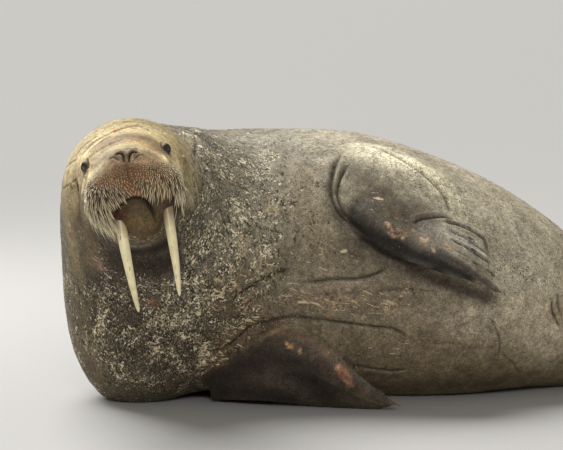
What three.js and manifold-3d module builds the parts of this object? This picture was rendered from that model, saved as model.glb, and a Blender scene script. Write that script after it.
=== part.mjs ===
// A walrus at rest, life size: it lies on its right side with its belly to the front (-Y), its head raised
// and turned to face the front, and its hind flippers trailing at the right (+X). Millimetres, +Z up, the
// floor at z = 0. The flesh is one smooth body of blended masses. Each part of it is a skin drawn in on
// those masses and cut from its neighbours by thin gaps. Tusks, eyes and flippers are shapes of their own.
import * as THREE from "three";
import { mergeVertices } from "three/addons/utils/BufferGeometryUtils.js";
import Module from "manifold-3d";

const wasm = await Module();
wasm.setup();

// Driving dimensions
const GAP = 0.3; // between pieces that touch
const SINK = 14; // how far the soft flesh presses flat on the floor
const FLANK_SPREAD = 1.1; // the lying trunk is this much deeper from back to belly than it is high

// The trunk and neck, from the base of the head to the root of the tail: the middle [x, y, z], and the radius
const BODY_STATIONS = [
  { at: [-454, -470, 702], radius: 206 },
  { at: [-426, -350, 606], radius: 250 },
  { at: [-356, -190, 500], radius: 322 },
  { at: [-250, -60, 426], radius: 404 },
  { at: [-68, 0, 414], radius: 414 },
  { at: [153, 0, 412], radius: 412 },
  { at: [373, 10, 378], radius: 378 },
  { at: [531, 20, 342], radius: 342 },
  { at: [688, 35, 292], radius: 292 },
  { at: [880, 68, 220], radius: 220 },
  { at: [1030, 98, 184], radius: 184 },
  { at: [1210, 130, 153], radius: 153 },
  { at: [1400, 160, 127], radius: 127 },
  { at: [1590, 190, 100], radius: 95 },
];
const CHAIN_LINKS = 36; // balls that the row is worked out with
const TRUNK_FIRST = 3; // the stations from here on make the trunk
const TRUNK_END_X = 1685;
const TRUNK_FILLET = 110; // between the masses below and the trunk
const TRUNK_MASSES = {
  throat: { at: [-446, -235, 250], radii: [212, 215, 290] }, // sags to the floor
  leftShoulder: { at: [300, -200, 590], radii: [190, 130, 130] }, // round the root of the upper flipper
  rightShoulder: { at: [0, -290, 150], radii: [240, 120, 130] }, // over the root of the lower flipper
  belly: { at: [430, -110, 172], radii: [360, 215, 166] }, // sags to the floor
  nape: { at: [-320, -230, 600], radii: [190, 200, 222] },
};

// The head turns about the point midway between the eyes
const EYES_MIDDLE = [-460, -700, 794];
const HEAD_PITCH = 15; // degrees, nose up
const HEAD_ROLL = 13; // degrees, crown towards -X

// Where the flesh is parted: planes across the trunk, and one across the head
const HINGE_HEIGHT = 400; // of the point on the line where those planes meet that the neck's rings start from
const NECK_BENDS = [[-430, -330, 520], [-330, -130, 440]]; // that the middle of the neck's rings follows
const NECK_FROM_CHEST_X = -150;
const CHEST_FROM_BELLY_X = 440;
const BELLY_FROM_HIPS_X = 960;
const HEAD_CUT_AHEAD = -150;
const CUT_OVERLAP = 15; // how far a piece is made past its cut

// Facets: rings along a piece and sides round it
const CHEST_MESH = { rings: 11, sides: 36 };
const BELLY_MESH = { rings: 10, sides: 32 };
const HIPS_MESH = { rings: 11, sides: 26 };
const NECK_MESH = { rings: 15, sides: 40 };
const HEAD_MESH = { detail: 11, towardsFace: 0.4 };
const FLIPPER_MESH = { rings: 13, columns: 10 };
const FLIPPER_FORM = {
  digit: 1.5, // how sharply a digit's ridge rises
  fades: 1.5, // how the ridges fade towards the root
  edge: 0.04, // the share of the width beside an edge that is thin
  roundness: 0.45, // of the edges
  crowding: 1.15, // of the rings towards the tip
  claws: [0.07, 0.93], // the outermost ones' places across
  clawLift: 0.22, // how far a claw's tip stands off, as a share of its length
};
const PROUD = 0.4; // how far flesh is let out before it is cut from a flipper or the tail
const TRUNK_REACH = 700; // further than any skin lies from the middle of the trunk or neck
const HEAD_REACH = 290; // further than the head's skin lies from its middle, and not as far as the chest

// On the head, all in its own frame: to the animal's left, up, ahead
const HEAD_MIDDLE = [0, -60, -20];
const HEAD_FILLET = 48; // between the masses below
const HEAD_MASSES = {
  cranium: { at: [0, -15, -125], radii: [150, 104, 170] },
  brow: { at: [0, 2, 0], radii: [108, 70, 105] },
  face: { at: [0, -62, 70], radii: [116, 88, 112] },
  nose: { at: [0, -30, 160], radii: [52, 34, 44] },
  betweenPads: { at: [0, -100, 150], radii: [84, 66, 66] },
  throat: { at: [0, -170, -80], radii: [104, 84, 120] },
  underJaw: { at: [4, -184, 20], radii: [84, 76, 84] },
};
const SIDE_MASSES = {
  cheek: { at: [97, -110, -30], radii: [58, 88, 120] },
  whiskerPad: { at: [68, -120, 138], radii: [74, 78, 76] },
};
const EYE = { at: [112, 2, 0], radius: 20, look: [0.8, 0.02, 0.6] };
const LID = { ring: 20, thick: 6.5, wide: 1.18, high: 0.86, ahead: 8, facets: [5, 16] };
const NOSTRIL = { turn: -9, side: 17, up: -22, outer: 13, inner: 6.5, tail: 17, from: 168, to: 260 };
const EAR = { up: -28, ahead: -118, radii: [18, 12, 6.5] };
const EAR_FOLD = { ring: 13, low: 0.8, thick: 5, turned: 0.12, facets: [5, 12] };
const PAD = { at: [58, -130, 148], radii: [97, 92, 95] };
const JAW = { at: [5, -198, 100], radii: [68, 70, 92] };
const MOUTH = { at: [6, -204, 172], radii: [66, 62, 84] };
const UPPER_LIP = { radius: 6.5, sunk: 4, from: -74, to: 78, points: 11, sides: 6 }; // in degrees round it
const LOWER_LIP = { at: [5, -167, 170], radii: [46, 17, 22] };
const WHISKERS = {
  tries: 174, // places spread over a ball round the pad's middle, of which those on the pad's face are kept
  heights: [0.72, -0.9], // from the highest place on that ball to the lowest
  within: 0.94, // how far out on the pad they grow, as a share of its radii
  seed: 11,
  root: 1.7,
  middle: 0.75, // the radius half way, as a share of the root's
  sunk: 7,
  lengths: [12, 82], // on top of the pad, and at its lowest edge
  shortest: 10, // of those that are cut short to stay clear
  droop: 0.55,
  clear: 4, // of tusks, jaw and face
  innermost: -0.62, // how far in and how little ahead they may point from the pad's middle
  leastAhead: 0.12,
  fromMidline: 7,
  belowNose: -52,
  lengthening: { from: -55, over: 130 }, // the height where they start to lengthen, and how far down
  widest: 140, // to the side, where they lean out most
  varied: [0.85, 0.3], // the least share of its length that one has, and the span of the shares
  away: 0.45, // the share of the way out from the pad's middle in the way that one points
  offSkin: 14, // how far out one is looked at for what it might touch
};
const TUSKS = {
  left: { root: [86, -172, 128], bend: [80, -320, 156], tip: [64, -449, 112] },
  right: { root: [-52, -150, 128], bend: [-66, -312, 158], tip: [-62, -469, 112] },
};
const TUSK = { wide: 17.5, deep: 22, taper: 0.5, bluntness: 0.12, tip: 0.45, rings: 10, sides: 10 };

// Flippers: the leading and trailing edges from root to tip, the half thickness along them, how far the five
// digits reach from the trailing edge to the leading one, how deep the web is notched between them and how
// far it thins there, and the face that the claws are on
const FORE_CLAWS = [14, 16, 18, 18, 16].map((length) => ({ length, wide: 4, set: 0.86 }));
const HIND_CLAWS = [18, 36, 38, 36, 18].map((length) => ({ length, wide: length > 20 ? 6 : 4.5, set: 0.8 }));
const FORE_FLIPPERS = {
  left: {
    leading: [
      [175, -280, 650], [225, -420, 553], [330, -462, 485],
      [435, -485, 440], [560, -470, 400], [690, -405, 340],
    ],
    trailing: [
      [400, -90, 730], [489, -180, 650], [508, -225, 596],
      [540, -245, 570], [590, -265, 535], [655, -285, 490],
    ],
    thick: [62, 58, 46, 34, 24, 12],
    reaches: [0.86, 0.9, 0.93, 0.93, 1],
    notch: 0.035,
    ridge: 0.4,
    claws: FORE_CLAWS,
    clawFace: 1,
  },
  right: {
    leading: [
      [-200, -320, 100], [-75, -425, 200], [26, -455, 251], [123, -475, 224],
      [199, -490, 146], [284, -495, 73], [373, -480, 9],
    ],
    trailing: [
      [-190, -280, 14], [-60, -355, 10], [26, -390, 6], [110, -410, 2],
      [190, -425, -2], [270, -435, -3], [340, -440, -3],
    ],
    thick: [60, 52, 44, 34, 26, 18, 10],
    reaches: [0.9, 0.93, 0.95, 0.96, 1],
    notch: 0.03,
    ridge: 0.4,
    claws: FORE_CLAWS,
    clawFace: -1,
  },
};
const HIND_FLIPPERS = {
  right: {
    leading: [[1460, 120, 80], [1590, 75, 60], [1730, 30, 34], [1880, -15, 20], [2050, -60, 8]],
    trailing: [[1480, 240, 80], [1610, 205, 58], [1750, 195, 34], [1900, 195, 20], [2050, 200, 8]],
    thick: [62, 54, 38, 25, 11],
    reaches: [1, 0.92, 0.89, 0.92, 1],
    notch: 0.035,
    ridge: 0.45,
    claws: HIND_CLAWS,
    clawFace: 1,
  },
  left: {
    leading: [[1460, 200, 140], [1590, 215, 150], [1730, 225, 130], [1870, 230, 95], [2010, 235, 40]],
    trailing: [[1480, 290, 110], [1600, 330, 98], [1710, 380, 74], [1820, 445, 40], [1930, 510, -3]],
    thick: [56, 50, 36, 24, 11],
    reaches: [1, 0.92, 0.89, 0.92, 1],
    notch: 0.035,
    ridge: 0.45,
    claws: HIND_CLAWS,
    clawFace: 1,
  },
};
const CLAW = { sides: 5, sunk: 6 };
const TAIL = { at: [1700, 205, 100], radii: [74, 40, 24] };

const COLOURS = {
  hide: 0x6f6350,
  face: 0xa8946e,
  flipper: 0x4a4036,
  ivory: 0xe9dfb4,
  eye: 0x1c1410,
};
const ROUGHNESS = { hide: 0.8, face: 0.75, flipper: 0.7, ivory: 0.35, eye: 0.1 };

// Directions and frames
const X = new THREE.Vector3(1, 0, 0);
const radians = THREE.MathUtils.degToRad;
const headTurn = new THREE.Matrix4();
{
  const pitch = radians(HEAD_PITCH);
  const roll = radians(HEAD_ROLL);
  const ahead = new THREE.Vector3(0, -Math.cos(pitch), Math.sin(pitch));
  const level = new THREE.Vector3(0, Math.sin(pitch), Math.cos(pitch));
  const up = level.clone().multiplyScalar(Math.cos(roll)).addScaledVector(X, -Math.sin(roll));
  const side = X.clone().multiplyScalar(Math.cos(roll)).addScaledVector(level, Math.sin(roll));
  headTurn.makeBasis(side, up, ahead).setPosition(...EYES_MIDDLE);
}

/**
 * A point of the head, given by how far it is to the animal's left of, above and ahead of its eyes'
 * middle.
 */
function inHead(side, up, ahead) {
  return new THREE.Vector3(side, up, ahead).applyMatrix4(headTurn);
}

/** A direction of the head, given in the same way. */
function headWay(side, up, ahead) {
  return inHead(side, up, ahead).sub(inHead(0, 0, 0));
}

// Fields: each is the distance from a point to a mass, negative inside it

/** The smaller of two distances, with a fillet of about k between their surfaces. */
function smoothLeast(a, b, k) {
  const near = Math.max(k - Math.abs(a - b), 0) / k;
  return Math.min(a, b) - (near * near * k) / 4;
}

/** Adds masses to a body of flesh one after another, as smoothLeast does, from a first one. */
function grownOn(base, k, fields) {
  return (p) => fields.reduce((least, field) => smoothLeast(least, field(p), k), base(p));
}

/** An ellipsoid with its middle and three radii in the given frame. */
function mass(frame, { at, radii }) {
  const inverse = frame.clone().invert();
  const centre = new THREE.Vector3(...at);
  const size = new THREE.Vector3(...radii);
  const local = new THREE.Vector3();
  return (p) => {
    local.copy(p).applyMatrix4(inverse).sub(centre).divide(size);
    const outward = local.length();
    const steep = local.divide(size).length();
    return steep < 1e-9 ? -Math.min(...radii) : (outward * (outward - 1)) / steep;
  };
}

/** A row of balls with straight sides from each to the next. */
function chain(balls) {
  const links = balls.slice(1).map((b, i) => {
    const a = balls[i];
    const along = b.at.clone().sub(a.at);
    const span = along.lengthSq();
    const shrink = a.radius - b.radius;
    return { a, b, along, span, shrink, slope: span - shrink * shrink };
  });
  const from = new THREE.Vector3();
  const off = new THREE.Vector3();
  return (p) => {
    let least = Infinity;
    for (const { a, b, along, span, shrink, slope } of links) {
      from.copy(p).sub(a.at);
      const y = from.dot(along);
      const z = y - span;
      const x2 = off.copy(from).multiplyScalar(span).addScaledVector(along, -y).lengthSq();
      const y2 = y * y * span;
      const z2 = z * z * span;
      const k = Math.sign(shrink) * shrink * shrink * x2;
      let distance;
      if (Math.sign(z) * slope * z2 > k) distance = Math.sqrt(x2 + z2) / span - b.radius;
      else if (Math.sign(y) * slope * y2 < k) distance = Math.sqrt(x2 + y2) / span - a.radius;
      else distance = (Math.sqrt((x2 * slope) / span) + y * shrink) / span - a.radius;
      least = Math.min(least, distance);
    }
    return least;
  };
}

/** The trunk and neck: balls along a smooth curve, spread from back to belly. */
function trunkField() {
  const squeeze = ([x, y, z]) => new THREE.Vector3(x, y / FLANK_SPREAD, z - SINK);
  const middle = new THREE.CatmullRomCurve3(BODY_STATIONS.map((s) => squeeze(s.at)), false, "centripetal");
  const girth = new THREE.CatmullRomCurve3(
    BODY_STATIONS.map((s, i) => new THREE.Vector3(i, s.radius, 0)),
  );
  const balls = Array.from({ length: CHAIN_LINKS + 1 }, (_, i) => ({
    at: middle.getPoint(i / CHAIN_LINKS),
    radius: girth.getPoint(i / CHAIN_LINKS).y,
  }));
  const field = chain(balls);
  const squeezed = new THREE.Vector3();
  return (p) => field(squeezed.set(p.x, p.y / FLANK_SPREAD, p.z));
}

/** The same place on the other side of the head where the side is -1: 1 is the animal's left. */
const mirrored = ([side, up, ahead], sign) => [side * sign, up, ahead];

const WORLD = new THREE.Matrix4();
const trunkMasses = Object.values(TRUNK_MASSES).map((size) => mass(WORLD, size));
const headMasses = Object.values(HEAD_MASSES).map((size) => mass(headTurn, size));
for (const sign of [1, -1]) {
  for (const { at, radii } of Object.values(SIDE_MASSES)) {
    headMasses.push(mass(headTurn, { at: mirrored(at, sign), radii }));
  }
}
const withoutHead = grownOn(trunkField(), TRUNK_FILLET, trunkMasses);
const flesh = grownOn(withoutHead, HEAD_FILLET, headMasses);

// Skins: closed meshes drawn in on a field

/**
 * Distance from a point out along a direction to the skin of a field, found by careful steps from far out.
 */
function surfaceAlong(field, from, direction, reach) {
  const nearEnough = 0.05;
  const care = 0.85;
  const mostSteps = 90;
  const p = new THREE.Vector3();
  let t = reach;
  for (let step = 0; step < mostSteps && t > 0; step++) {
    const distance = field(p.copy(from).addScaledVector(direction, t));
    if (distance < nearEnough) break;
    t -= distance * care;
  }
  return Math.max(t, 1);
}

/** The triangles of a geometry as a closed solid, turned right side out. */
function solid(geometry) {
  const bare = geometry.clone();
  bare.deleteAttribute("normal");
  bare.deleteAttribute("uv");
  const merged = mergeVertices(bare, 1e-3);
  const vertProperties = merged.attributes.position.array;
  const triVerts = new Uint32Array(merged.index.array);
  const body = new wasm.Manifold(new wasm.Mesh({ numProp: 3, vertProperties, triVerts }));
  if (body.volume() > 0) return body;
  return new wasm.Manifold(new wasm.Mesh({ numProp: 3, vertProperties, triVerts: triVerts.reverse() }));
}

/** A ball round a middle point, drawn in on the field, with its faces crowded towards a direction. */
function wrapped(field, middle, detail, reach, towards) {
  const ball = new THREE.IcosahedronGeometry(1, detail);
  const position = ball.attributes.position;
  const direction = new THREE.Vector3();
  for (let i = 0; i < position.count; i++) {
    direction.fromBufferAttribute(position, i).add(towards).normalize();
    const length = surfaceAlong(field, middle, direction, reach);
    position.setXYZ(i, ...direction.multiplyScalar(length).add(middle));
  }
  return solid(ball);
}

const neckSpine = new THREE.CatmullRomCurve3([
  inHead(0, -75, HEAD_CUT_AHEAD),
  ...NECK_BENDS.map((p) => new THREE.Vector3(...p)),
  new THREE.Vector3(NECK_FROM_CHEST_X, 0, 414),
]);
const headAhead = new THREE.Vector3().setFromMatrixColumn(headTurn, 2);
const headSide = new THREE.Vector3().setFromMatrixColumn(headTurn, 0);
const turnOnly = headTurn.clone().setPosition(0, 0, 0);
const headCut = headAhead.dot(inHead(0, 0, HEAD_CUT_AHEAD));

/**
 * A closed mesh from rows of points, each row a ring. The end rows close on a middle point or, on a flat
 * plate, by a strip between their two faces.
 */
function fromRings(rings, flat = false) {
  const sides = rings[0].length;
  const points = rings.flat();
  const faces = [];
  for (let i = 0; i + 1 < rings.length; i++) {
    for (let j = 0; j < sides; j++) {
      const a = i * sides + j;
      const b = i * sides + ((j + 1) % sides);
      if (flat && j >= sides / 2) faces.push(a, b, b + sides, a, b + sides, a + sides);
      else faces.push(a, b, a + sides, b, b + sides, a + sides);
    }
  }
  for (const [row, turned] of [[0, true], [rings.length - 1, false]]) {
    const close = (...corners) => faces.push(...(turned ? corners.reverse() : corners));
    if (flat) {
      for (let j = 0; j < sides / 2; j++) {
        const [a, b] = [row * sides + j, row * sides + j + 1];
        const [c, d] = [row * sides + sides - j - 1, row * sides + ((sides - j) % sides)];
        if (b !== c) close(a, b, c);
        if (a !== d) close(a, c, d);
      }
    } else {
      const middle = points.length;
      points.push(rings[row].reduce((sum, p) => sum.add(p), new THREE.Vector3()).divideScalar(sides));
      for (let j = 0; j < sides; j++) close(row * sides + j, row * sides + ((j + 1) % sides), middle);
    }
  }
  const geometry = new THREE.BufferGeometry().setFromPoints(points);
  geometry.setIndex(faces);
  return geometry;
}

/** Evenly spaced numbers from one to another. */
function steps(from, to, count) {
  return Array.from({ length: count + 1 }, (_, i) => from + ((to - from) * i) / count);
}

/** The angles of the corners of a ring with this many sides. */
const round = (sides) => steps(0, 2 * Math.PI, sides).slice(0, sides);

const trunkLine = new THREE.CatmullRomCurve3(
  BODY_STATIONS.slice(TRUNK_FIRST).map((s) => new THREE.Vector3(...s.at)),
).getPoints(200);

/** The middle of the trunk at x. */
function trunkMiddle(x) {
  const next = trunkLine.findIndex((p) => p.x > x);
  if (next < 0) return trunkLine[trunkLine.length - 1].clone().setX(x);
  if (next === 0) return trunkLine[0].clone().setX(x);
  const share = (x - trunkLine[next - 1].x) / (trunkLine[next].x - trunkLine[next - 1].x);
  return trunkLine[next - 1].clone().lerp(trunkLine[next], share);
}

/** A stretch of the trunk drawn in on the field ring by ring, with a ring at each x, let out by grow. */
function barrel(field, xs, sides, grow) {
  const rows = xs.map((x) => {
    const centre = trunkMiddle(x);
    return round(sides).map((angle) => {
      const direction = new THREE.Vector3(0, Math.cos(angle), Math.sin(angle));
      const length = surfaceAlong(field, centre, direction, TRUNK_REACH) + grow;
      return centre.clone().addScaledVector(direction, length);
    });
  });
  return solid(fromRings(rows));
}

/**
 * The neck, drawn in on the field ring by ring. Its rings lie in planes that fan out from the line where
 * the cut behind the head would meet the cut before the chest, which is outside the flesh.
 */
function bend(field, { rings, sides }, grow) {
  const hinge = X.clone().cross(headAhead).normalize();
  const onHinge = new THREE.Vector3(NECK_FROM_CHEST_X, 0, 0);
  onHinge.y = (headCut - headAhead.z * HINGE_HEIGHT) / headAhead.y;
  onHinge.z = HINGE_HEIGHT;
  const first = hinge.clone().cross(headAhead);
  const last = X.clone().cross(hinge);
  const turn = first.angleTo(last);
  const spill = 0.03;
  const rows = steps(-spill, 1 + spill, rings).map((share) => {
    const outward = first.clone().applyAxisAngle(hinge, turn * share);
    const centre = neckSpine.getPoint(Math.min(Math.max(share, 0), 1));
    const normal = outward.clone().cross(hinge);
    centre.addScaledVector(normal, -normal.dot(centre.clone().sub(onHinge)));
    return round(sides).map((angle) => {
      const direction = outward.clone().multiplyScalar(Math.cos(angle));
      direction.addScaledVector(hinge, Math.sin(angle));
      const length = surfaceAlong(field, centre, direction, TRUNK_REACH) + grow;
      return centre.clone().addScaledVector(direction, length);
    });
  });
  return solid(fromRings(rows));
}

/** A closed egg shape in a frame, with its middle and three radii, let out by grow. */
function egg(frame, { at, radii }, [around, over], grow = 0) {
  const ball = new THREE.SphereGeometry(1, around, over);
  ball.scale(...radii.map((r) => r + grow)).translate(...at).applyMatrix4(frame);
  return solid(ball);
}

/** The frame of a ring or disc: its middle, and the way its axis points. */
function facing(middle, axis) {
  const turn = new THREE.Quaternion().setFromUnitVectors(
    new THREE.Vector3(0, 0, 1),
    new THREE.Vector3(...axis).normalize(),
  );
  return new THREE.Matrix4().compose(new THREE.Vector3(...middle), turn, new THREE.Vector3(1, 1, 1));
}

/** The largest closed piece of a solid. */
function largest(body) {
  return body.decompose().reduce((a, b) => (a.volume() > b.volume() ? a : b));
}

/** What is left of a body on the side that each plane's normal points to. A plane is [normal, distance]. */
function trimmed(body, ...planes) {
  return planes.reduce((left, [normal, distance]) => left.trimByPlane(normal, distance), body);
}
const onFloor = [[0, 0, 1], 0];
const after = (x) => [[1, 0, 0], x + GAP / 2];
const before = (x) => [[-1, 0, 0], -x + GAP / 2];
const headMidline = headSide.dot(inHead(0, 0, 0));
const beforeHeadCut = [headAhead.clone().negate().toArray(), -headCut + GAP / 2];
const afterHeadCut = [headAhead.toArray(), headCut + GAP / 2];
const ofSide = (side) => [headSide.clone().multiplyScalar(side).toArray(), side * headMidline + GAP / 2];

// Parts
const parts = [];

/** Names a finished solid and gives it a material. */
function part(name, body, colour, roughness) {
  const mesh = largest(body).getMesh();
  const position = new Float32Array(mesh.numVert * 3);
  for (let i = 0; i < mesh.numVert; i++) {
    position.set(mesh.vertProperties.subarray(i * mesh.numProp, i * mesh.numProp + 3), i * 3);
  }
  const geometry = new THREE.BufferGeometry();
  geometry.setAttribute("position", new THREE.BufferAttribute(position, 3));
  geometry.setIndex(new THREE.BufferAttribute(mesh.triVerts, 1));
  geometry.computeVertexNormals();
  const material = new THREE.MeshStandardMaterial({ color: colour, roughness, metalness: 0 });
  const made = new THREE.Mesh(geometry, material);
  made.name = name;
  parts.push(made);
}

/** Neck, chest, belly and hips, not yet cut from each other and let out by grow. */
function trunkPieces(grow) {
  const closer = (share) => Math.sin((share * Math.PI) / 2);
  const hipsFrom = BELLY_FROM_HIPS_X - CUT_OVERLAP;
  const hipsLong = TRUNK_END_X - hipsFrom;
  const hipsXs = steps(0, 1, HIPS_MESH.rings).map((share) => hipsFrom + hipsLong * closer(share));
  const between = (from, to, { rings }) => steps(from - CUT_OVERLAP, to + CUT_OVERLAP, rings);
  return {
    chest: barrel(flesh, between(NECK_FROM_CHEST_X, CHEST_FROM_BELLY_X, CHEST_MESH), CHEST_MESH.sides, grow),
    belly: barrel(flesh, between(CHEST_FROM_BELLY_X, BELLY_FROM_HIPS_X, BELLY_MESH), BELLY_MESH.sides, grow),
    hips: barrel(flesh, hipsXs, HIPS_MESH.sides, grow),
    neck: bend(flesh, NECK_MESH, grow),
  };
}

const trunk = trunkPieces(0);
const grown = trunkPieces(PROUD);
const chest = trimmed(trunk.chest, onFloor, after(NECK_FROM_CHEST_X), before(CHEST_FROM_BELLY_X));
const belly = trimmed(trunk.belly, onFloor, after(CHEST_FROM_BELLY_X), before(BELLY_FROM_HIPS_X));
const hips = trimmed(trunk.hips, onFloor, after(BELLY_FROM_HIPS_X));
const neck = trimmed(trunk.neck, onFloor, before(NECK_FROM_CHEST_X), beforeHeadCut);
const roundTrunk = grown.chest.add(grown.belly).add(grown.hips).add(grown.neck);

// Head

/** A lid: a ring of flesh round the eye, wider than high. */
function lid(sign) {
  const ring = new THREE.TorusGeometry(LID.ring, LID.thick, ...LID.facets);
  ring.scale(LID.wide, LID.high, 1).translate(0, 0, LID.ahead);
  ring.applyMatrix4(facing(mirrored(EYE.at, sign), mirrored(EYE.look, sign))).applyMatrix4(headTurn);
  return solid(ring);
}

/** An eyeball, let out by grow. */
function eyeball(sign, grow = 0) {
  const radii = [EYE.radius, EYE.radius, EYE.radius];
  return egg(headTurn, { at: mirrored(EYE.at, sign), radii }, [12, 8], grow);
}

/** A nostril's hollow: a hook over its top, with its tail down beside the septum. */
function nostrilHollow(sign) {
  const { side, up, outer, inner, tail, from, to } = NOSTRIL;
  const outline = new THREE.Shape();
  outline.moveTo(side - outer, up - tail);
  outline.lineTo(side - outer, up);
  outline.absarc(side, up, outer, Math.PI, Math.PI * 0.1, true);
  outline.absarc(side, up, inner, Math.PI * 0.25, Math.PI, false);
  outline.closePath();
  const depth = to - from;
  const hollow = new THREE.ExtrudeGeometry(outline, { depth, bevelEnabled: false, curveSegments: 5 });
  hollow.translate(0, 0, from);
  hollow.scale(sign, 1, 1).rotateZ(radians(NOSTRIL.turn)).applyMatrix4(headTurn);
  return solid(hollow);
}

/** The place of an ear: where the side of the head is level with it. */
function earSpot(sign) {
  const from = inHead(0, EAR.up, EAR.ahead);
  const side = headSide.clone().multiplyScalar(sign);
  from.addScaledVector(side, surfaceAlong(flesh, from.clone(), side, HEAD_REACH));
  return turnOnly.clone().setPosition(from);
}

/** The opening of the ear. */
function earHollow(sign) {
  return egg(earSpot(sign), { at: [0, 0, 0], radii: EAR.radii }, [10, 6]);
}

/** The fold of skin that stands round the ear's opening, as a low cup. */
function earFold(sign) {
  const ring = new THREE.TorusGeometry(EAR_FOLD.ring, EAR_FOLD.thick, ...EAR_FOLD.facets);
  ring.scale(1, EAR_FOLD.low, 1).applyMatrix4(facing([0, 0, 0], [sign, 0, EAR_FOLD.turned]));
  ring.applyMatrix4(earSpot(sign));
  return solid(ring);
}

/** The line that a tusk follows. */
function tuskCurve({ root, bend, tip }) {
  return new THREE.QuadraticBezierCurve3(...[root, bend, tip].map((p) => new THREE.Vector3(...p)));
}

/** A tusk: an oval horn along a bend, blunt at its tip, let out by grow. */
function tusk(spec, grow = 0) {
  const curve = tuskCurve(spec);
  const rows = steps(0, 1, TUSK.rings).map((u) => {
    const centre = curve.getPoint(u);
    const along = curve.getTangent(u);
    const across = new THREE.Vector3(1, 0, 0).addScaledVector(along, -along.x).normalize();
    const forward = across.clone().cross(along).negate();
    const taper = Math.pow(1 - u, TUSK.taper) * (1 - TUSK.bluntness) + TUSK.bluntness;
    const blunt = u > 0.99 ? TUSK.tip : 1;
    return round(TUSK.sides).map((angle) =>
      centre
        .clone()
        .addScaledVector(across, Math.cos(angle) * (TUSK.wide * taper * blunt + grow))
        .addScaledVector(forward, Math.sin(angle) * (TUSK.deep * taper * blunt + grow)),
    );
  });
  return solid(fromRings(rows).applyMatrix4(headTurn));
}

/** The space of a whisker pad. */
const padRegion = (sign, grow = 0) => egg(headTurn, { ...PAD, at: mirrored(PAD.at, sign) }, [16, 11], grow);

/** The lower jaw with its lip. */
function jawShape(grow = 0) {
  return egg(headTurn, JAW, [15, 11], grow).add(egg(headTurn, LOWER_LIP, [12, 8], grow));
}

/** Numbers between 0 and 1 that look random and are the same each time. */
function seeded(seed) {
  let state = seed;
  return () => {
    state = (state * 1664525 + 1013904223) % 4294967296;
    return state / 4294967296;
  };
}

const toHead = headTurn.clone().invert();
const tuskCurves = Object.values(TUSKS).map((spec) => tuskCurve(spec).getPoints(TUSK.rings));

/** How near a point is to whatever a whisker has to keep clear of. */
function nearestObstacle(p) {
  const local = p.clone().applyMatrix4(toHead);
  const toTusks = tuskCurves.flat().map((q) => q.distanceTo(local) - TUSK.deep);
  return Math.min(...toTusks, flesh(p), jawField(p));
}

/** A whisker: a bent spine of three sides, from a root under the skin to its tip. */
function whisker(root, middle, tip) {
  const along = tip.clone().sub(root).normalize();
  const across = along.clone().cross(headAhead).normalize();
  const other = along.clone().cross(across);
  const ring = (centre, radius) =>
    round(3).map((angle) =>
      centre
        .clone()
        .addScaledVector(across, radius * Math.cos(angle))
        .addScaledVector(other, radius * Math.sin(angle)),
    );
  const points = [...ring(root, WHISKERS.root), ...ring(middle, WHISKERS.root * WHISKERS.middle), tip];
  const geometry = new THREE.BufferGeometry().setFromPoints(points);
  const sides = [0, 1, 2].flatMap((i) => {
    const next = (i + 1) % 3;
    return [i, next, i + 3, next, next + 3, i + 3, i + 3, next + 3, 6];
  });
  geometry.setIndex([0, 2, 1, ...sides]);
  return solid(geometry);
}

/** Where whiskers grow on a pad: points of the skin, each with its direction from the pad's middle. */
function whiskerRoots(sign, random) {
  const centre = inHead(...mirrored(PAD.at, sign));
  const [highest, lowest] = WHISKERS.heights;
  const goldenAngle = Math.PI * (3 - Math.sqrt(5));
  const jitter = 0.3;
  const roots = [];
  for (let i = 0; i < WHISKERS.tries; i++) {
    const height = highest + ((lowest - highest) * (i + 0.5)) / WHISKERS.tries;
    const turn = i * goldenAngle + (random() - 0.5) * jitter;
    const level = Math.sqrt(1 - height * height);
    const [out, ahead] = [level * Math.sin(turn), level * Math.cos(turn)];
    if (ahead < WHISKERS.leastAhead || out < WHISKERS.innermost) continue;
    const direction = headWay(out * sign, height, ahead);
    const toSkin = surfaceAlong(flesh, centre, direction, HEAD_REACH);
    const skin = centre.clone().addScaledVector(direction, toSkin);
    const local = skin.clone().applyMatrix4(toHead);
    const inPad = local.clone().sub(new THREE.Vector3(...mirrored(PAD.at, sign)));
    const share = inPad.divide(new THREE.Vector3(...PAD.radii)).length();
    const tooNear = local.x * sign < WHISKERS.fromMidline || local.y > WHISKERS.belowNose;
    if (tooNear || share > WHISKERS.within) continue;
    roots.push({ skin, direction, local });
  }
  return roots;
}

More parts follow.
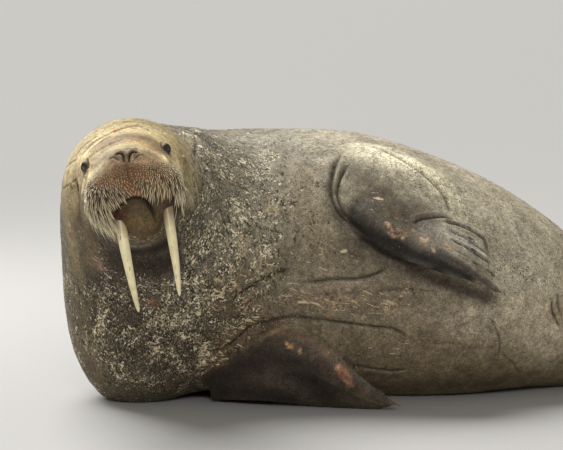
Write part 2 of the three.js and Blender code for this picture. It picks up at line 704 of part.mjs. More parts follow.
/** The whiskers of a pad: short above, long below and outward, drooping, and clear of tusks, jaw and face. */
function whiskers(sign) {
  const random = seeded(WHISKERS.seed + sign);
  const down = headWay(0, -1, -0.15);
  const [short, long] = WHISKERS.lengths;
  const [least, span] = WHISKERS.varied;
  const { from, over } = WHISKERS.lengthening;
  const made = [];
  for (const { skin, direction, local } of whiskerRoots(sign, random)) {
    const lower = THREE.MathUtils.clamp((from - local.y) / over, 0, 1);
    const wide = THREE.MathUtils.clamp((local.x * sign) / WHISKERS.widest, 0, 1);
    const full = short + (long - short) * Math.pow(lower, 1.1) * (0.62 + 0.38 * wide);
    const length = full * (least + span * random());
    const lean = headWay(sign * (0.06 + 0.16 * wide), -0.4 - 0.8 * lower, 0.5 - 0.2 * lower);
    const away = direction.clone().multiplyScalar(WHISKERS.away).add(lean).normalize();
    const spot = (share) =>
      skin
        .clone()
        .addScaledVector(away, length * share)
        .addScaledVector(down, WHISKERS.droop * length * share * share * 0.5);
    let reach = 1;
    for (const share of steps(0.2, 1, 8)) {
      const offSkin = share * length > WHISKERS.offSkin;
      const clear = share < 0.35 ? WHISKERS.clear / 3 : WHISKERS.clear;
      if (offSkin && nearestObstacle(spot(share)) < clear) reach = Math.min(reach, share - 0.1);
    }
    if (reach * length < WHISKERS.shortest) continue;
    const root = skin.clone().addScaledVector(away, -WHISKERS.sunk);
    made.push(whisker(root, spot(reach * 0.55), spot(reach)));
  }
  return made;
}

const jawField = mass(headTurn, JAW);
const tuskSockets = tusk(TUSKS.left, GAP).add(tusk(TUSKS.right, GAP));
const towardsFace = headAhead.clone().multiplyScalar(HEAD_MESH.towardsFace);
const headSkin = wrapped(flesh, inHead(...HEAD_MIDDLE), HEAD_MESH.detail, HEAD_REACH, towardsFace);
const wholeHead = trimmed(headSkin, afterHeadCut);

/** The point of the face straight ahead of a place given by its side and height. */
function onFace(side, up) {
  const reach = 330; // past the tip of the muzzle
  const from = inHead(side, up, 0);
  return from.addScaledVector(headAhead, surfaceAlong(flesh, from.clone(), headAhead, reach));
}

/** The upper lip: a rim of flesh round the arch of the mouth, let out by grow. */
function upperLip(grow = 0) {
  const { radius, sunk, from, to, points, sides } = UPPER_LIP;
  const [middle, radii] = [new THREE.Vector3(...MOUTH.at), new THREE.Vector3(...MOUTH.radii)];
  const arch = steps(radians(from), radians(to), points).map((angle) => {
    const spot = new THREE.Vector3(Math.sin(angle), Math.cos(angle), 0).multiply(radii).add(middle);
    return onFace(spot.x, spot.y).addScaledVector(headAhead, -sunk);
  });
  const rows = arch.map((centre, i) => {
    const next = arch[Math.min(i + 1, arch.length - 1)];
    const along = next.clone().sub(arch[Math.max(i - 1, 0)]).normalize();
    const outward = headAhead.clone().addScaledVector(along, -along.dot(headAhead)).normalize();
    const across = along.clone().cross(outward);
    return round(sides).map((angle) =>
      centre
        .clone()
        .addScaledVector(across, (radius + grow) * Math.cos(angle))
        .addScaledVector(outward, (radius + grow) * Math.sin(angle)),
    );
  });
  return solid(fromRings(rows));
}

const mouthHollow = egg(headTurn, MOUTH, [16, 12]);
let head = wholeHead.subtract(padRegion(1, GAP)).subtract(padRegion(-1, GAP)).subtract(jawShape(GAP));
head = head.subtract(mouthHollow).subtract(upperLip(GAP)).subtract(tuskSockets);
for (const sign of [1, -1]) {
  head = head.add(lid(sign)).add(earFold(sign));
}
for (const sign of [1, -1]) {
  head = head.subtract(eyeball(sign, GAP)).subtract(earHollow(sign)).subtract(nostrilHollow(sign));
}

part("head", head, COLOURS.face, ROUGHNESS.face);
part("lower_jaw", jawShape().subtract(tuskSockets), COLOURS.face, ROUGHNESS.face);
for (const [name, sign] of [["left", 1], ["right", -1]]) {
  const muzzle = wholeHead.intersect(padRegion(sign)).subtract(mouthHollow).add(upperLip());
  const bare = trimmed(muzzle, ofSide(sign));
  const bristled = whiskers(sign).reduce((body, bristle) => body.add(bristle), bare);
  const pad = bristled.subtract(jawShape(GAP)).subtract(tuskSockets);
  part(`whisker_pad_${name}`, pad, COLOURS.face, ROUGHNESS.face);
  part(`tusk_${name}`, tusk(TUSKS[name]), COLOURS.ivory, ROUGHNESS.ivory);
  part(`eye_${name}`, eyeball(sign), COLOURS.eye, ROUGHNESS.eye);
}
for (const [name, body] of Object.entries({ neck, chest, belly, hips })) {
  part(name, body, COLOURS.hide, ROUGHNESS.hide);
}

// Flippers and tail

/**
 * A flipper: a plate between a leading and a trailing edge, ending in digits with a web between them and a
 * claw on each.
 */
function flipper({ leading, trailing, thick, reaches, notch, ridge, claws, clawFace }) {
  const form = FLIPPER_FORM;
  const curve = (points) => new THREE.CatmullRomCurve3(points.map((p) => new THREE.Vector3(...p)));
  const edges = [curve(trailing), curve(leading)];
  const thickness = new THREE.CatmullRomCurve3(thick.map((t, i) => new THREE.Vector3(i, t, 0)));
  const lengthAt = (v) => {
    const place = v * (reaches.length - 1);
    const digit = Math.min(Math.floor(place), reaches.length - 2);
    const share = place - digit;
    const straight = reaches[digit] + (reaches[digit + 1] - reaches[digit]) * share;
    return straight - notch * Math.sin(Math.PI * share);
  };
  const spot = (u, v) => {
    const along = Math.min(u * (1 - (1 - lengthAt(v)) * u), 1);
    return edges[0].getPoint(along).lerp(edges[1].getPoint(along), v);
  };
  const half = (u, v) => {
    const onDigit = Math.pow(Math.abs(Math.cos(Math.PI * v * (reaches.length - 1))), form.digit);
    const ridged = 1 - ridge * Math.pow(u, form.fades) * (1 - onDigit);
    const roundEdges = Math.pow(Math.sin(Math.PI * (form.edge + (1 - 2 * form.edge) * v)), form.roundness);
    return thickness.getPoint(Math.min(u, 1)).y * ridged * roundEdges;
  };
  const outward = (u, v) => {
    const along = spot(Math.min(u + 0.02, 1), v).sub(spot(Math.max(u - 0.02, 0), v));
    const across = spot(u, Math.min(v + 0.05, 1)).sub(spot(u, Math.max(v - 0.05, 0)));
    return across.cross(along).normalize();
  };
  const rows = steps(0, 1, FLIPPER_MESH.rings).map((share) => {
    const u = 1 - Math.pow(1 - share, form.crowding);
    const ring = [];
    for (const face of [1, -1]) {
      for (let j = 0; j < FLIPPER_MESH.columns; j++) {
        const turn = face > 0 ? j : FLIPPER_MESH.columns - j;
        const v = 1 - turn / FLIPPER_MESH.columns;
        const onEdge = turn === 0 || turn === FLIPPER_MESH.columns;
        ring.push(spot(u, v).addScaledVector(outward(u, v), onEdge ? 0 : face * half(u, v)));
      }
    }
    return ring;
  });
  const paddle = solid(fromRings(rows, true));
  return claws.reduce((body, { length, wide, set }, i) => {
    const v = THREE.MathUtils.clamp(i / (claws.length - 1), ...form.claws);
    const out = outward(set, v).multiplyScalar(clawFace);
    const along = spot(1, v).sub(spot(set, v)).normalize();
    const root = spot(set, v).addScaledVector(out, half(set, v) * 0.7);
    const tip = root.clone().addScaledVector(along, length).addScaledVector(out, length * form.clawLift);
    return body.add(claw(root.addScaledVector(along, -CLAW.sunk), tip, wide));
  }, paddle);
}

/** A claw: a cone from a root under the skin to its tip. */
function claw(root, tip, wide) {
  const length = root.distanceTo(tip);
  const cone = new THREE.ConeGeometry(wide, length, CLAW.sides, 1);
  cone.rotateX(Math.PI / 2).translate(0, 0, length / 2);
  return solid(cone.applyMatrix4(facing(root.toArray(), tip.clone().sub(root).toArray())));
}

const tail = (grow = 0) => egg(WORLD, TAIL, [12, 8], grow);
part("tail", tail().subtract(roundTrunk), COLOURS.hide, ROUGHNESS.hide);
for (const [place, pair] of [["fore", FORE_FLIPPERS], ["hind", HIND_FLIPPERS]]) {
  for (const [name, shape] of Object.entries(pair)) {
    const body = trimmed(flipper(shape), onFloor).subtract(roundTrunk).subtract(tail(GAP));
    part(`${place}_flipper_${name}`, body, COLOURS.flipper, ROUGHNESS.flipper);
  }
}

const walrus = new THREE.Group();
walrus.add(...parts);
const box = new THREE.Box3().setFromObject(walrus);
walrus.position.set(-(box.min.x + box.max.x) / 2, -(box.min.y + box.max.y) / 2, 0);

export default walrus;
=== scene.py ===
"""The looks of a walrus at rest, life size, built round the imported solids.

The solids give the pose, the sizes and the outline. Their flesh is joined here into one skin, which is
refined where the form is small, sculpted with folds, lids, nostrils and wrinkles, and coloured by named
places. Eyes, tusks, claws, whiskers and the coat's tufts are pieces of their own. Lengths are in metres,
and in mm where a name or a note says so.
"""

import logging
import math
from collections.abc import Iterable, Iterator, Sequence
from contextlib import contextmanager
from dataclasses import dataclass, field
from enum import Enum

import bmesh
import bpy
import numpy as np
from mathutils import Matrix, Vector
from mathutils.bvhtree import BVHTree


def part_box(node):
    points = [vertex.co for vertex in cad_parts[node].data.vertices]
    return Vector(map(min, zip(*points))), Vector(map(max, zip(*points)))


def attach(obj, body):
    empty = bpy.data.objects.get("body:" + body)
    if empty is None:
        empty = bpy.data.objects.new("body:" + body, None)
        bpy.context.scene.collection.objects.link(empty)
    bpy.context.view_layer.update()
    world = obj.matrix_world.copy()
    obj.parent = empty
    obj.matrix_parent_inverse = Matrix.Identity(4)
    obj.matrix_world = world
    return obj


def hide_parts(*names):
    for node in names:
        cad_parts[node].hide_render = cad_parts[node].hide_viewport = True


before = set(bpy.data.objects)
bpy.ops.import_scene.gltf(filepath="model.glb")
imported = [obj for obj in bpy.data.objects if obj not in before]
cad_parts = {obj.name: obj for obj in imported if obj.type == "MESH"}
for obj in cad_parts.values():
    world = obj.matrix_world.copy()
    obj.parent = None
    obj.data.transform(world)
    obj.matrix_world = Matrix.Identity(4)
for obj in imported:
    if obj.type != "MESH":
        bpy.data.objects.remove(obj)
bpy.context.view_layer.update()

LOG = logging.getLogger("walrus")
MM = 0.001
BODY = "root"
HEAD_PARTS = ("head", "lower_jaw", "whisker_pad_left", "whisker_pad_right")
TRUNK = ("neck", "chest", "belly", "hips", "tail")
FLIPPERS = ("fore_flipper_left", "fore_flipper_right", "hind_flipper_left", "hind_flipper_right")
FLESH = HEAD_PARTS + TRUNK + FLIPPERS
WELD = 0.00001  # points nearer than this become one
EYE_AT = (112, 2, 0)  # to the left of, above and ahead of the head's middle, in mm
Point = tuple[float, float, float]
Pair = tuple[float, float]
Pixel = Pair
Array = np.ndarray
Object = bpy.types.Object
Nodes = bpy.types.NodeTree
Socket = bpy.types.NodeSocket


# Small tools


def linear(hex_colour: str) -> tuple[float, float, float, float]:
    """The linear colour, with alpha 1, of an sRGB hex value such as "b59a6b"."""
    parts = [int(hex_colour[i:i + 2], 16) / 255 for i in (0, 2, 4)]
    red, green, blue = (c / 12.92 if c <= 0.04045 else ((c + 0.055) / 1.055) ** 2.4 for c in parts)
    return red, green, blue, 1.0


def pick(obj: Object) -> None:
    """Makes an object the only selected one, and the active one."""
    bpy.ops.object.select_all(action="DESELECT")
    obj.select_set(True)
    bpy.context.view_layer.objects.active = obj


@contextmanager
def editing(obj: Object) -> Iterator[None]:
    """Opens an object's mesh for editing, with all of it selected."""
    pick(obj)
    bpy.ops.object.mode_set(mode="EDIT")
    bpy.ops.mesh.select_all(action="SELECT")
    yield
    bpy.ops.object.mode_set(mode="OBJECT")


def numbers(items: bpy.types.bpy_prop_collection, name: str, width: int, kind: type = np.float32) -> Array:
    """A property of many items, such as their places, with one row for each item."""
    values = np.empty(len(items) * width, dtype=kind)
    items.foreach_get(name, values)
    return values.reshape(-1, width)


def use_modifier(obj: Object, kind: str, **settings: object) -> None:
    """Adds a modifier to an object and applies it.

    Args:
        obj: the object.
        kind: the modifier's type.
        settings: its settings, by name.
    """
    pick(obj)
    modifier = obj.modifiers.new(kind.lower(), kind)
    for name, value in settings.items():
        setattr(modifier, name, value)
    bpy.ops.object.modifier_apply(modifier=modifier.name)


def smoothstep(low: float, high: float, value: Array) -> Array:
    """0 below low, 1 above high, and a smooth step between; low may be the larger one."""
    share = np.clip((value - low) / (high - low), 0, 1)
    return share * share * (3 - 2 * share)


def bell(value: Array, middle: float, spread: float) -> Array:
    """1 where a value is at the middle, and a smooth fall to 0 on both sides."""
    return np.exp(-(((value - middle) / spread) ** 2))


def row_lengths(rows: Array) -> Array:
    """The length of each row."""
    return np.linalg.norm(rows, axis=1)


def unit(rows: Array) -> Array:
    """The rows, each brought to the length 1."""
    return rows / row_lengths(rows)[:, None]


def inside_box(points: Array, spots: Array, reach: float) -> Array:
    """The numbers of the points in the box round some spots, let out by the reach."""
    low, high = spots.min(axis=0) - reach, spots.max(axis=0) + reach
    return np.flatnonzero(((points > low) & (points < high)).all(axis=1))


def curve_through(points: Array, steps: int) -> Array:
    """A smooth line through points.

    Args:
        points: the points, one in each row.
        steps: how many steps each stretch between two points takes.

    Returns:
        The line's points, one in each row.
    """
    padded = np.vstack([2 * points[0] - points[1], points, 2 * points[-1] - points[-2]])
    t = np.linspace(0, 1, steps, endpoint=False)[:, None]
    rows = []
    for a, b, c, d in zip(padded, padded[1:], padded[2:], padded[3:]):
        bowed = (2 * a - 5 * b + 4 * c - d) * t**2 + (3 * b - a - 3 * c + d) * t**3
        rows.append(0.5 * (2 * b + (c - a) * t + bowed))
    return np.vstack([*rows, points[-1:]])


# Where things are


@dataclass(frozen=True)
class PhotoView:
    """The photograph's view: where its camera stands, and the ray through each of its pixels."""

    width: int = 563
    height: int = 450
    from_eyes: Point = (0.460, 0.700, -0.283)  # the point looked at, from the middle of the eyes
    distance: float = 12.0
    elevation: float = 7.0
    metres_per_pixel: float = 0.00315  # at the point looked at
    sensor: float = 36.0
    far_end: float = 200.0  # how far the camera sees

    def target(self) -> Vector:
        """The point looked at."""
        return HEAD.origin + Vector(self.from_eyes)

    def axes(self) -> tuple[Vector, Vector]:
        """The ways that the view looks and that its top points."""
        tilt = math.radians(self.elevation)
        return Vector((0, math.cos(tilt), -math.sin(tilt))), Vector((0, math.sin(tilt), math.cos(tilt)))

    def stand(self) -> Vector:
        """Where the camera stands."""
        return self.target() - self.axes()[0] * self.distance

    def ray(self, pixel: Pixel) -> Vector:
        """The way from the camera through a pixel of the photograph."""
        look, top = self.axes()
        across = (pixel[0] - self.width / 2) * self.metres_per_pixel
        down = (pixel[1] - self.height / 2) * self.metres_per_pixel
        return (look * self.distance + Vector((across, 0, 0)) - top * down).normalized()

    def hits(self, tree: BVHTree, pixels: Iterable[Sequence[float]]) -> list[Vector | None]:
        """Where the rays through pixels meet a surface, with None for each one that misses it."""
        return [tree.ray_cast(self.stand(), self.ray(tuple(pixel)))[0] for pixel in pixels]

    def camera(self) -> Object:
        """Makes the camera and gives it to the scene."""
        bpy.ops.object.camera_add(location=self.stand(), rotation=(math.radians(90 - self.elevation), 0, 0))
        camera = bpy.context.object
        camera.name = "camera"
        camera.data.sensor_width = self.sensor
        camera.data.lens = self.sensor * self.distance / (self.width * self.metres_per_pixel)
        camera.data.clip_end = self.far_end
        bpy.context.scene.camera = camera
        return camera


@dataclass(frozen=True)
class HeadFrame:
    """The head's own frame: to the animal's left, up and ahead of the middle of its eyes."""

    origin: Vector
    side: Vector
    up: Vector
    ahead: Vector

    @classmethod
    def of_solids(cls, pitch: float = 15.0) -> "HeadFrame":
        """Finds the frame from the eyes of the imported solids.

        Args:
            pitch: how far the nose points up, in degrees.

        Returns:
            The frame.
        """
        boxes = (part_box(f"eye_{name}") for name in ("left", "right"))
        left, right = (sum((Vector(corner) for corner in box), Vector()) / 2 for box in boxes)
        tilt = math.radians(pitch)
        ahead = Vector((0, -math.cos(tilt), math.sin(tilt)))
        side = (left - right).normalized()
        up = ahead.cross(side).normalized()
        return cls((left + right) / 2 - up * EYE_AT[1] * MM, side, up, ahead)

    def place(self, at_mm: Sequence[float]) -> Vector:
        """The point given by its distances to the left, up and ahead, in mm."""
        return self.origin + self.way(at_mm) * MM

    def way(self, to: Sequence[float]) -> Vector:
        """The direction given by its shares to the left, up and ahead."""
        return self.side * to[0] + self.up * to[1] + self.ahead * to[2]

    def local_mm(self, points: Array) -> Array:
        """Points, one in each row, as distances to the left, up and ahead in mm."""
        axes = np.array([self.side, self.up, self.ahead]).T
        return (points - np.array(self.origin)) @ axes / MM


@dataclass(frozen=True)
class Ball:
    """A round part of the head, in its own frame and in mm."""

    middle: Point
    radius: float

    def holds(self, local: Array) -> Array:
        """Whether it holds places of the head."""
        return row_lengths(local - self.middle) < self.radius


@dataclass(frozen=True)
class Block:
    """A block of the head, alike on both sides: half its width, its bottom, top and rear, in mm."""

    half: float
    low: float
    high: float
    rear: float

    def holds(self, local: Array) -> Array:
        """Whether it holds places of the head."""
        across, up, ahead = local.T
        return (abs(across) < self.half) & (up > self.low) & (up < self.high) & (ahead > self.rear)


WHOLE_HEAD = Ball((0, -70, -20), 310)
FACE = Ball((0, -80, 110), 190)
NOSTRILS = Block(46, -52, 8, 120)
BARE_NOSE = Block(52, -60, 8, 100)
BARE_PADS = Block(165, -260, -34, 20)
HEAD = HeadFrame.of_solids()
VIEW = PhotoView()
POSE_ORIGIN = HEAD.origin - Vector((-0.460, -0.700, 0.794))  # the point that places on the body count from


# Sculpting

SHRINK, SWELL = 0.5, -0.52  # the steps of a round of smoothing, to the neighbours' mean and back


class Clay:
    """A mesh held as arrays of numbers while it is shaped."""

    def __init__(self, obj: Object) -> None:
        """Takes the object's mesh in hand."""
        self.obj = obj
        self.read()

    def read(self) -> None:
        """Reads points, normals and edges from the mesh."""
        mesh = self.obj.data
        self.points = numbers(mesh.vertices, "co", 3).astype(float)
        self.normals = numbers(mesh.vertex_normals, "vector", 3).astype(float)
        self.edges = numbers(mesh.edges, "vertices", 2, np.int32)
        self.links = np.bincount(self.edges.ravel(), minlength=len(self.points))[:, None]

    def write(self) -> None:
        """Writes the points back to the mesh, and reads the new normals."""
        self.obj.data.vertices.foreach_set("co", self.points.ravel())
        self.obj.data.update()
        self.read()

    def means(self, values: Array) -> Array:
        """For each point, the mean of a value over its neighbours."""
        a, b = self.edges.T
        total = np.empty_like(values)
        for column in range(values.shape[1]):
            one = values[:, column]
            total[:, column] = np.bincount(a, one[b], len(one)) + np.bincount(b, one[a], len(one))
        return total / np.maximum(self.links, 1)

    def relax(self, rounds: int, weight: Array | float = 1.0, keep_size: bool = True) -> None:
        """Smooths the surface.

        Args:
            rounds: how often.
            weight: how much each point takes part, from 0 to 1.
            keep_size: whether each round is followed by one that swells the surface back.
        """
        share = np.broadcast_to(np.asarray(weight, dtype=float), len(self.points))[:, None]
        for _ in range(rounds):
            for step in (SHRINK, SWELL) if keep_size else (SHRINK,):
                self.points = self.points + (self.means(self.points) - self.points) * share * step
        self.write()

    def refine(self, wanted: Array) -> None:
        """Splits each edge in two whose ends are both wanted."""
        bm = bmesh.new()
        bm.from_mesh(self.obj.data)
        bm.verts.ensure_lookup_table()
        edges = [e for e in bm.edges if wanted[e.verts[0].index] and wanted[e.verts[1].index]]
        bmesh.ops.subdivide_edges(bm, edges=edges, cuts=1, use_grid_fill=True)
        bm.to_mesh(self.obj.data)
        bm.free()
        self.read()

    def bvh(self) -> BVHTree:
        """A tree to cast rays on."""
        polygons = [tuple(p.vertices) for p in self.obj.data.polygons]
        return BVHTree.FromPolygons([Vector(p) for p in self.points], polygons)


class Profile(Enum):
    """The section of a fold, across its line."""

    CREASE = "a groove with soft banks"
    RIDGE = "a raised roll"


FOLD_REACH = 5  # how far off its line a fold shapes the hide, in its own widths
FOLD_END = 0.35  # how far from its ends a fold has faded in, as a share of half its length
BANK_HIGH, BANK_AT, BANK_WIDE = 0.25, 2.2, 1.2  # a groove's banks, in its own depths and widths
GROOVE_STEEP = 1.2  # how steep its sides are
SHADE_WIDE = 0.75  # how far its painted shade spreads, in its own widths


def fading(hits: Sequence[Vector | None]) -> Array:
    """Rows of x, y, z and how far each hit is from the nearer end of its line, from 0 to 1."""
    shares = np.linspace(0, 1, len(hits))
    rows = ((*hit, min(share, 1 - share) * 2) for hit, share in zip(hits, shares) if hit is not None)
    return np.array(list(rows))


@dataclass(frozen=True)
class Fold:
    """A fold of the hide that runs along a line seen in the photograph.

    Attributes:
        line: pixels of the photograph that it runs through.
        width: half the width of its groove or roll, in mm.
        depth: how deep or high it is in its middle, in mm.
        profile: its section.
        dark: how dark the painted shade makes its bottom, from 0 to 1.
    """

    line: tuple[Pixel, ...]
    width: float = 8
    depth: float = 4
    profile: Profile = Profile.CREASE
    dark: float = 0.6

    def on(self, tree: BVHTree) -> Array:
        """The line on the skin, as points and, for each, how far it is from the nearer end, from 0 to 1."""
        return fading(VIEW.hits(tree, curve_through(np.array(self.line, dtype=float), steps=10)))


@dataclass(frozen=True)
class Girth(Fold):
    """A fold part of the way round the neck or trunk, on a side that the photograph doesn't show.

    Attributes:
        middle: a point inside the body that it runs round, in mm.
        along: the way of the trunk there.
        turns: where it starts and ends, in degrees round from the top, towards the back where negative.
        slant: how far along the trunk its end lies from its start, in mm.
        sway: how far it swings to and fro along the trunk, in mm.
        steps: how many points its line has.
    """

    middle: Point = (0, 0, 0)
    along: Point = (1, 0, 0)
    turns: Pair = (-150, -20)
    slant: float = 40
    sway: float = 9
    steps: int = 40

    def on(self, tree: BVHTree) -> Array:
        """The line on the skin, as points and, for each, how far it is from the nearer end, from 0 to 1."""
        way = Vector(self.along).normalized()
        top = (Vector((0, 0, 1)) - way * way.z).normalized()
        side = way.cross(top)
        hits = []
        for share in np.linspace(0, 1, self.steps):
            turn = math.radians(self.turns[0] + (self.turns[1] - self.turns[0]) * share)
            shift = (share - 0.5) * self.slant + self.sway * math.sin(share * 11 + self.slant)
            start = POSE_ORIGIN + (Vector(self.middle) + way * shift) * MM
            hits.append(tree.ray_cast(start, top * math.cos(turn) + side * math.sin(turn))[0])
        return fading(hits)


def beside(line: Array, points: Array, reach: float) -> tuple[Array, Array, Array]:
    """How points lie beside a line.

    Args:
        line: rows of x, y, z and the share that the line has of its strength there.
        points: the points.
        reach: how far off a point may be.

    Returns:
        The numbers of the points in reach, their distances from the line, and its share nearest to each.
    """
    near = inside_box(points, line[:, :3], reach)
    best = np.full(len(near), np.inf)
    share = np.zeros(len(near))
    for a, b in zip(line, line[1:]):
        along = b[:3] - a[:3]
        span = max(along @ along, 1e-12)
        off = points[near] - a[:3]
        t = np.clip(off @ along / span, 0, 1)
        distance = np.sqrt(((off - t[:, None] * along) ** 2).sum(axis=1))
        nearer = distance < best
        best[nearer] = distance[nearer]
        share[nearer] = (a[3] + (b[3] - a[3]) * t)[nearer]
    kept = best < reach
    return near[kept], best[kept], share[kept]


class Side(Enum):
    """A side of the animal's head: 1 for its left, which is the image's right."""

    LEFT = 1
    RIGHT = -1

    def mirrored(self, at: Sequence[float]) -> Vector:
        """A place or direction of the head, on this side."""
        return Vector((at[0] * self.value, at[1], at[2]))


FURROW_AT = 1.95  # where the furrow round the lids runs, as a share of the opening's size


@dataclass(frozen=True)
class Eye:
    """An eye: a wet dark ball, and the lids that the hide forms round it. Lengths in mm."""

    side: Side
    at: Point = EYE_AT
    look: Point = (0.8, 0.02, 0.6)
    radius: float = 20
    opening: Pair = (13, 10.5)  # half its width and half its height
    almond: float = 1.5  # 2 for an oval, 1 for a diamond
    lid: float = 3.0  # how far the rim stands off the ball
    rim: float = 1.2  # how high the rim's roll is
    furrow: float = 3.2  # how deep the furrow round the lids is
    bag: float = 1.8  # how high the fold outside that furrow is
    upper_furrow: float = 1.6
    snap: float = 0.09  # how near the rim, as a share of the opening, points are drawn onto it
    reach: float = 60  # how far from the ball's middle the hide is shaped
    cornea: float = 0.035  # how far the clear part stands out, as a share of the radius

    @property
    def name(self) -> str:
        """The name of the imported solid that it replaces."""
        return f"eye_{self.side.name.lower()}"

    def frame(self) -> tuple[Vector, Array]:
        """The ball's middle, and the ways to its outer corner, up and out as columns."""
        out = HEAD.way(self.side.mirrored(self.look)).normalized()
        across = HEAD.up.cross(out).normalized() * self.side.value
        up = out.cross(across) * self.side.value
        return HEAD.place(self.side.mirrored(self.at)), np.array([across, up, out]).T

    def rings(self, points: Array) -> tuple[Array, Array]:
        """How far out points are, in sizes of the opening, and how far ahead of the ball's middle."""
        middle, axes = self.frame()
        x, y, z = ((points - np.array(middle)) @ axes / MM).T
        return self.ring(x, y), z

    def ring(self, x: Array, y: Array) -> Array:
        """How far out from the opening places beside its middle are, as a share of its size."""
        wide, high = self.opening
        return (abs(x / wide) ** self.almond + abs(y / high) ** self.almond) ** (1 / self.almond)

    def open_lids(self, clay: Clay) -> None:
        """Shapes the hide into lids round the ball, with a furrow round them."""
        middle, axes = self.frame()
        local = (clay.points - np.array(middle)) @ axes / MM
        away = row_lengths(local)
        near = np.flatnonzero((away < self.reach) & (local[:, 2] > -5))
        x, y, z = local[near].T
        ring = self.ring(x, y)
        snapped = np.where(abs(ring - 1) < self.snap, 1.0, ring) / np.maximum(ring, 1e-6)
        held = smoothstep(-5, 8, z) * smoothstep(self.reach, self.reach * 0.8, away[near])
        x, y, ring = x * snapped, y * snapped, ring * snapped
        off = x**2 + y**2
        ball = np.sqrt(np.maximum(self.radius**2 - off, 0))
        lid = np.sqrt(np.maximum((self.radius + self.lid) ** 2 - off * 0.9, 9))
        on_lid = np.where(ring < 1, ball - 4 - 5 * (1 - ring), lid)
        roll = self.rim * bell(ring, 1.2, 0.2) - self.furrow * bell(ring, FURROW_AT, 0.26)
        roll += self.bag * bell(ring, 2.6, 0.4) - self.upper_furrow * bell(ring, 3.1, 0.3) * (y > 0)
        share = smoothstep(2.9, 1.6, ring) * held
        z = np.where(ring < 1, on_lid, z + (on_lid - z) * share + roll * held)
        clay.points[near] = np.array(middle) + np.stack([x, y, z], axis=1) @ axes.T * MM

    def build(self, finish: "EyeFinish") -> Object:
        """Makes the ball, turned so that its pole looks out, with its cornea raised a little."""
        middle, axes = self.frame()
        bpy.ops.object.select_all(action="DESELECT")
        bpy.ops.mesh.primitive_uv_sphere_add(segments=48, ring_count=32, radius=self.radius * MM)
        ball = bpy.context.object
        ball.name = self.name.replace("eye", "eyeball")
        points = numbers(ball.data.vertices, "co", 3).astype(float)
        outward = points[:, 2] / (self.radius * MM)
        points *= 1 + self.cornea * smoothstep(0.72, 0.95, outward)[:, None]
        points = points @ axes.T + np.array(middle)
        ball.data.vertices.foreach_set("co", points.ravel())
        facing = ball.data.attributes.new("facing", "FLOAT", "POINT")
        facing.data.foreach_set("value", outward)
        if self.side is Side.RIGHT:
            outward_again(ball)
        smooth(ball)
        dress(ball, finish.material())
        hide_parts(self.name)
        return ball


@dataclass(frozen=True)
class Ear:
    """A walrus's ear: a small hole in the hide behind the eye, with a low fold round it. Lengths in mm."""

    side: Side
    up: float = -28
    ahead: float = -118
    hole: float = 6
    deep: float = 11
    fold: float = 14
    raised: float = 4
    soft: float = 5  # how wide the fold is

    def middle(self, tree: BVHTree) -> Array:
        """Where the hole is on the hide, found from outside the head."""
        start = HEAD.place(self.side.mirrored((400, self.up, self.ahead)))
        return np.array(tree.ray_cast(start, HEAD.side * -self.side.value)[0])

    def press(self, clay: Clay, middle: Array) -> Array:
        """Shapes the hide, and returns how dark the shade painted into the hole makes each point."""
        off = clay.points - middle
        ring = row_lengths(off) / MM
        above = np.clip(off @ np.array(HEAD.up) / np.maximum(ring * MM, 1e-6), -1, 1)
        move = self.raised * (0.75 + 0.45 * above) * bell(ring, self.fold, self.soft)
        move -= self.deep * bell(ring, 0, self.hole)
        clay.points += clay.normals * (move * MM)[:, None]
        return bell(ring, 0, self.hole * 1.2)


FAR = 400.0  # in mm


def outward_again(obj: Object) -> None:
    """Turns the faces of a closed shape outward."""
    with editing(obj):
        bpy.ops.mesh.normals_make_consistent(inside=False)


def smooth(obj: Object) -> None:
    """Shades a whole piece smoothly."""
    pick(obj)
    bpy.ops.object.shade_smooth()


def dress(obj: Object, material: bpy.types.Material) -> None:
    """Gives a piece its material and lets it ride on the body."""
    obj.data.materials.clear()
    obj.data.materials.append(material)
    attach(obj, BODY)


def copy_of(name: str) -> Object:
    """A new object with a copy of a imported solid's mesh, its loose triangles merged."""
    copy = bpy.data.objects.new(f"{name}_copy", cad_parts[name].data.copy())
    bpy.context.collection.objects.link(copy)
    with editing(copy):
        bpy.ops.mesh.remove_doubles(threshold=WELD)
    return copy


def tree_of(names: Iterable[str]) -> BVHTree:
    """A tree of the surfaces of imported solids."""
    points: list[Vector] = []
    faces: list[tuple[int, ...]] = []
    for name in names:
        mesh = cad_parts[name].data
        start = len(points)
        points += [v.co.copy() for v in mesh.vertices]
        faces += [tuple(i + start for i in p.vertices) for p in mesh.polygons]
    return BVHTree.FromPolygons(points, faces)


def distances(names: Iterable[str], points: Array) -> Array:
    """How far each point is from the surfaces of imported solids, in mm, and FAR at most."""
    tree = tree_of(names)
    found = (tree.find_nearest(Vector(p), FAR * MM)[3] for p in points)
    return np.array([FAR if d is None else d / MM for d in found])


# Folds seen in the photograph, by the pixels that they run through


def crease(width: float, depth: float, dark: float, *line: Pixel) -> Fold:
    """A groove, with its size in mm."""
    return Fold(line, width, depth, Profile.CREASE, dark)


def ridge(width: float, height: float, *line: Pixel) -> Fold:
    """A raised roll, with its size in mm."""
    return Fold(line, width, height, Profile.RIDGE, 0)


def girth(width: float, depth: float, dark: float, *course: Point | Pair | float) -> Girth:
    """A fold on a hidden side: a roll if it isn't dark at all, else a groove."""
    return Girth((), width, depth, Profile.CREASE if dark else Profile.RIDGE, dark, *course)


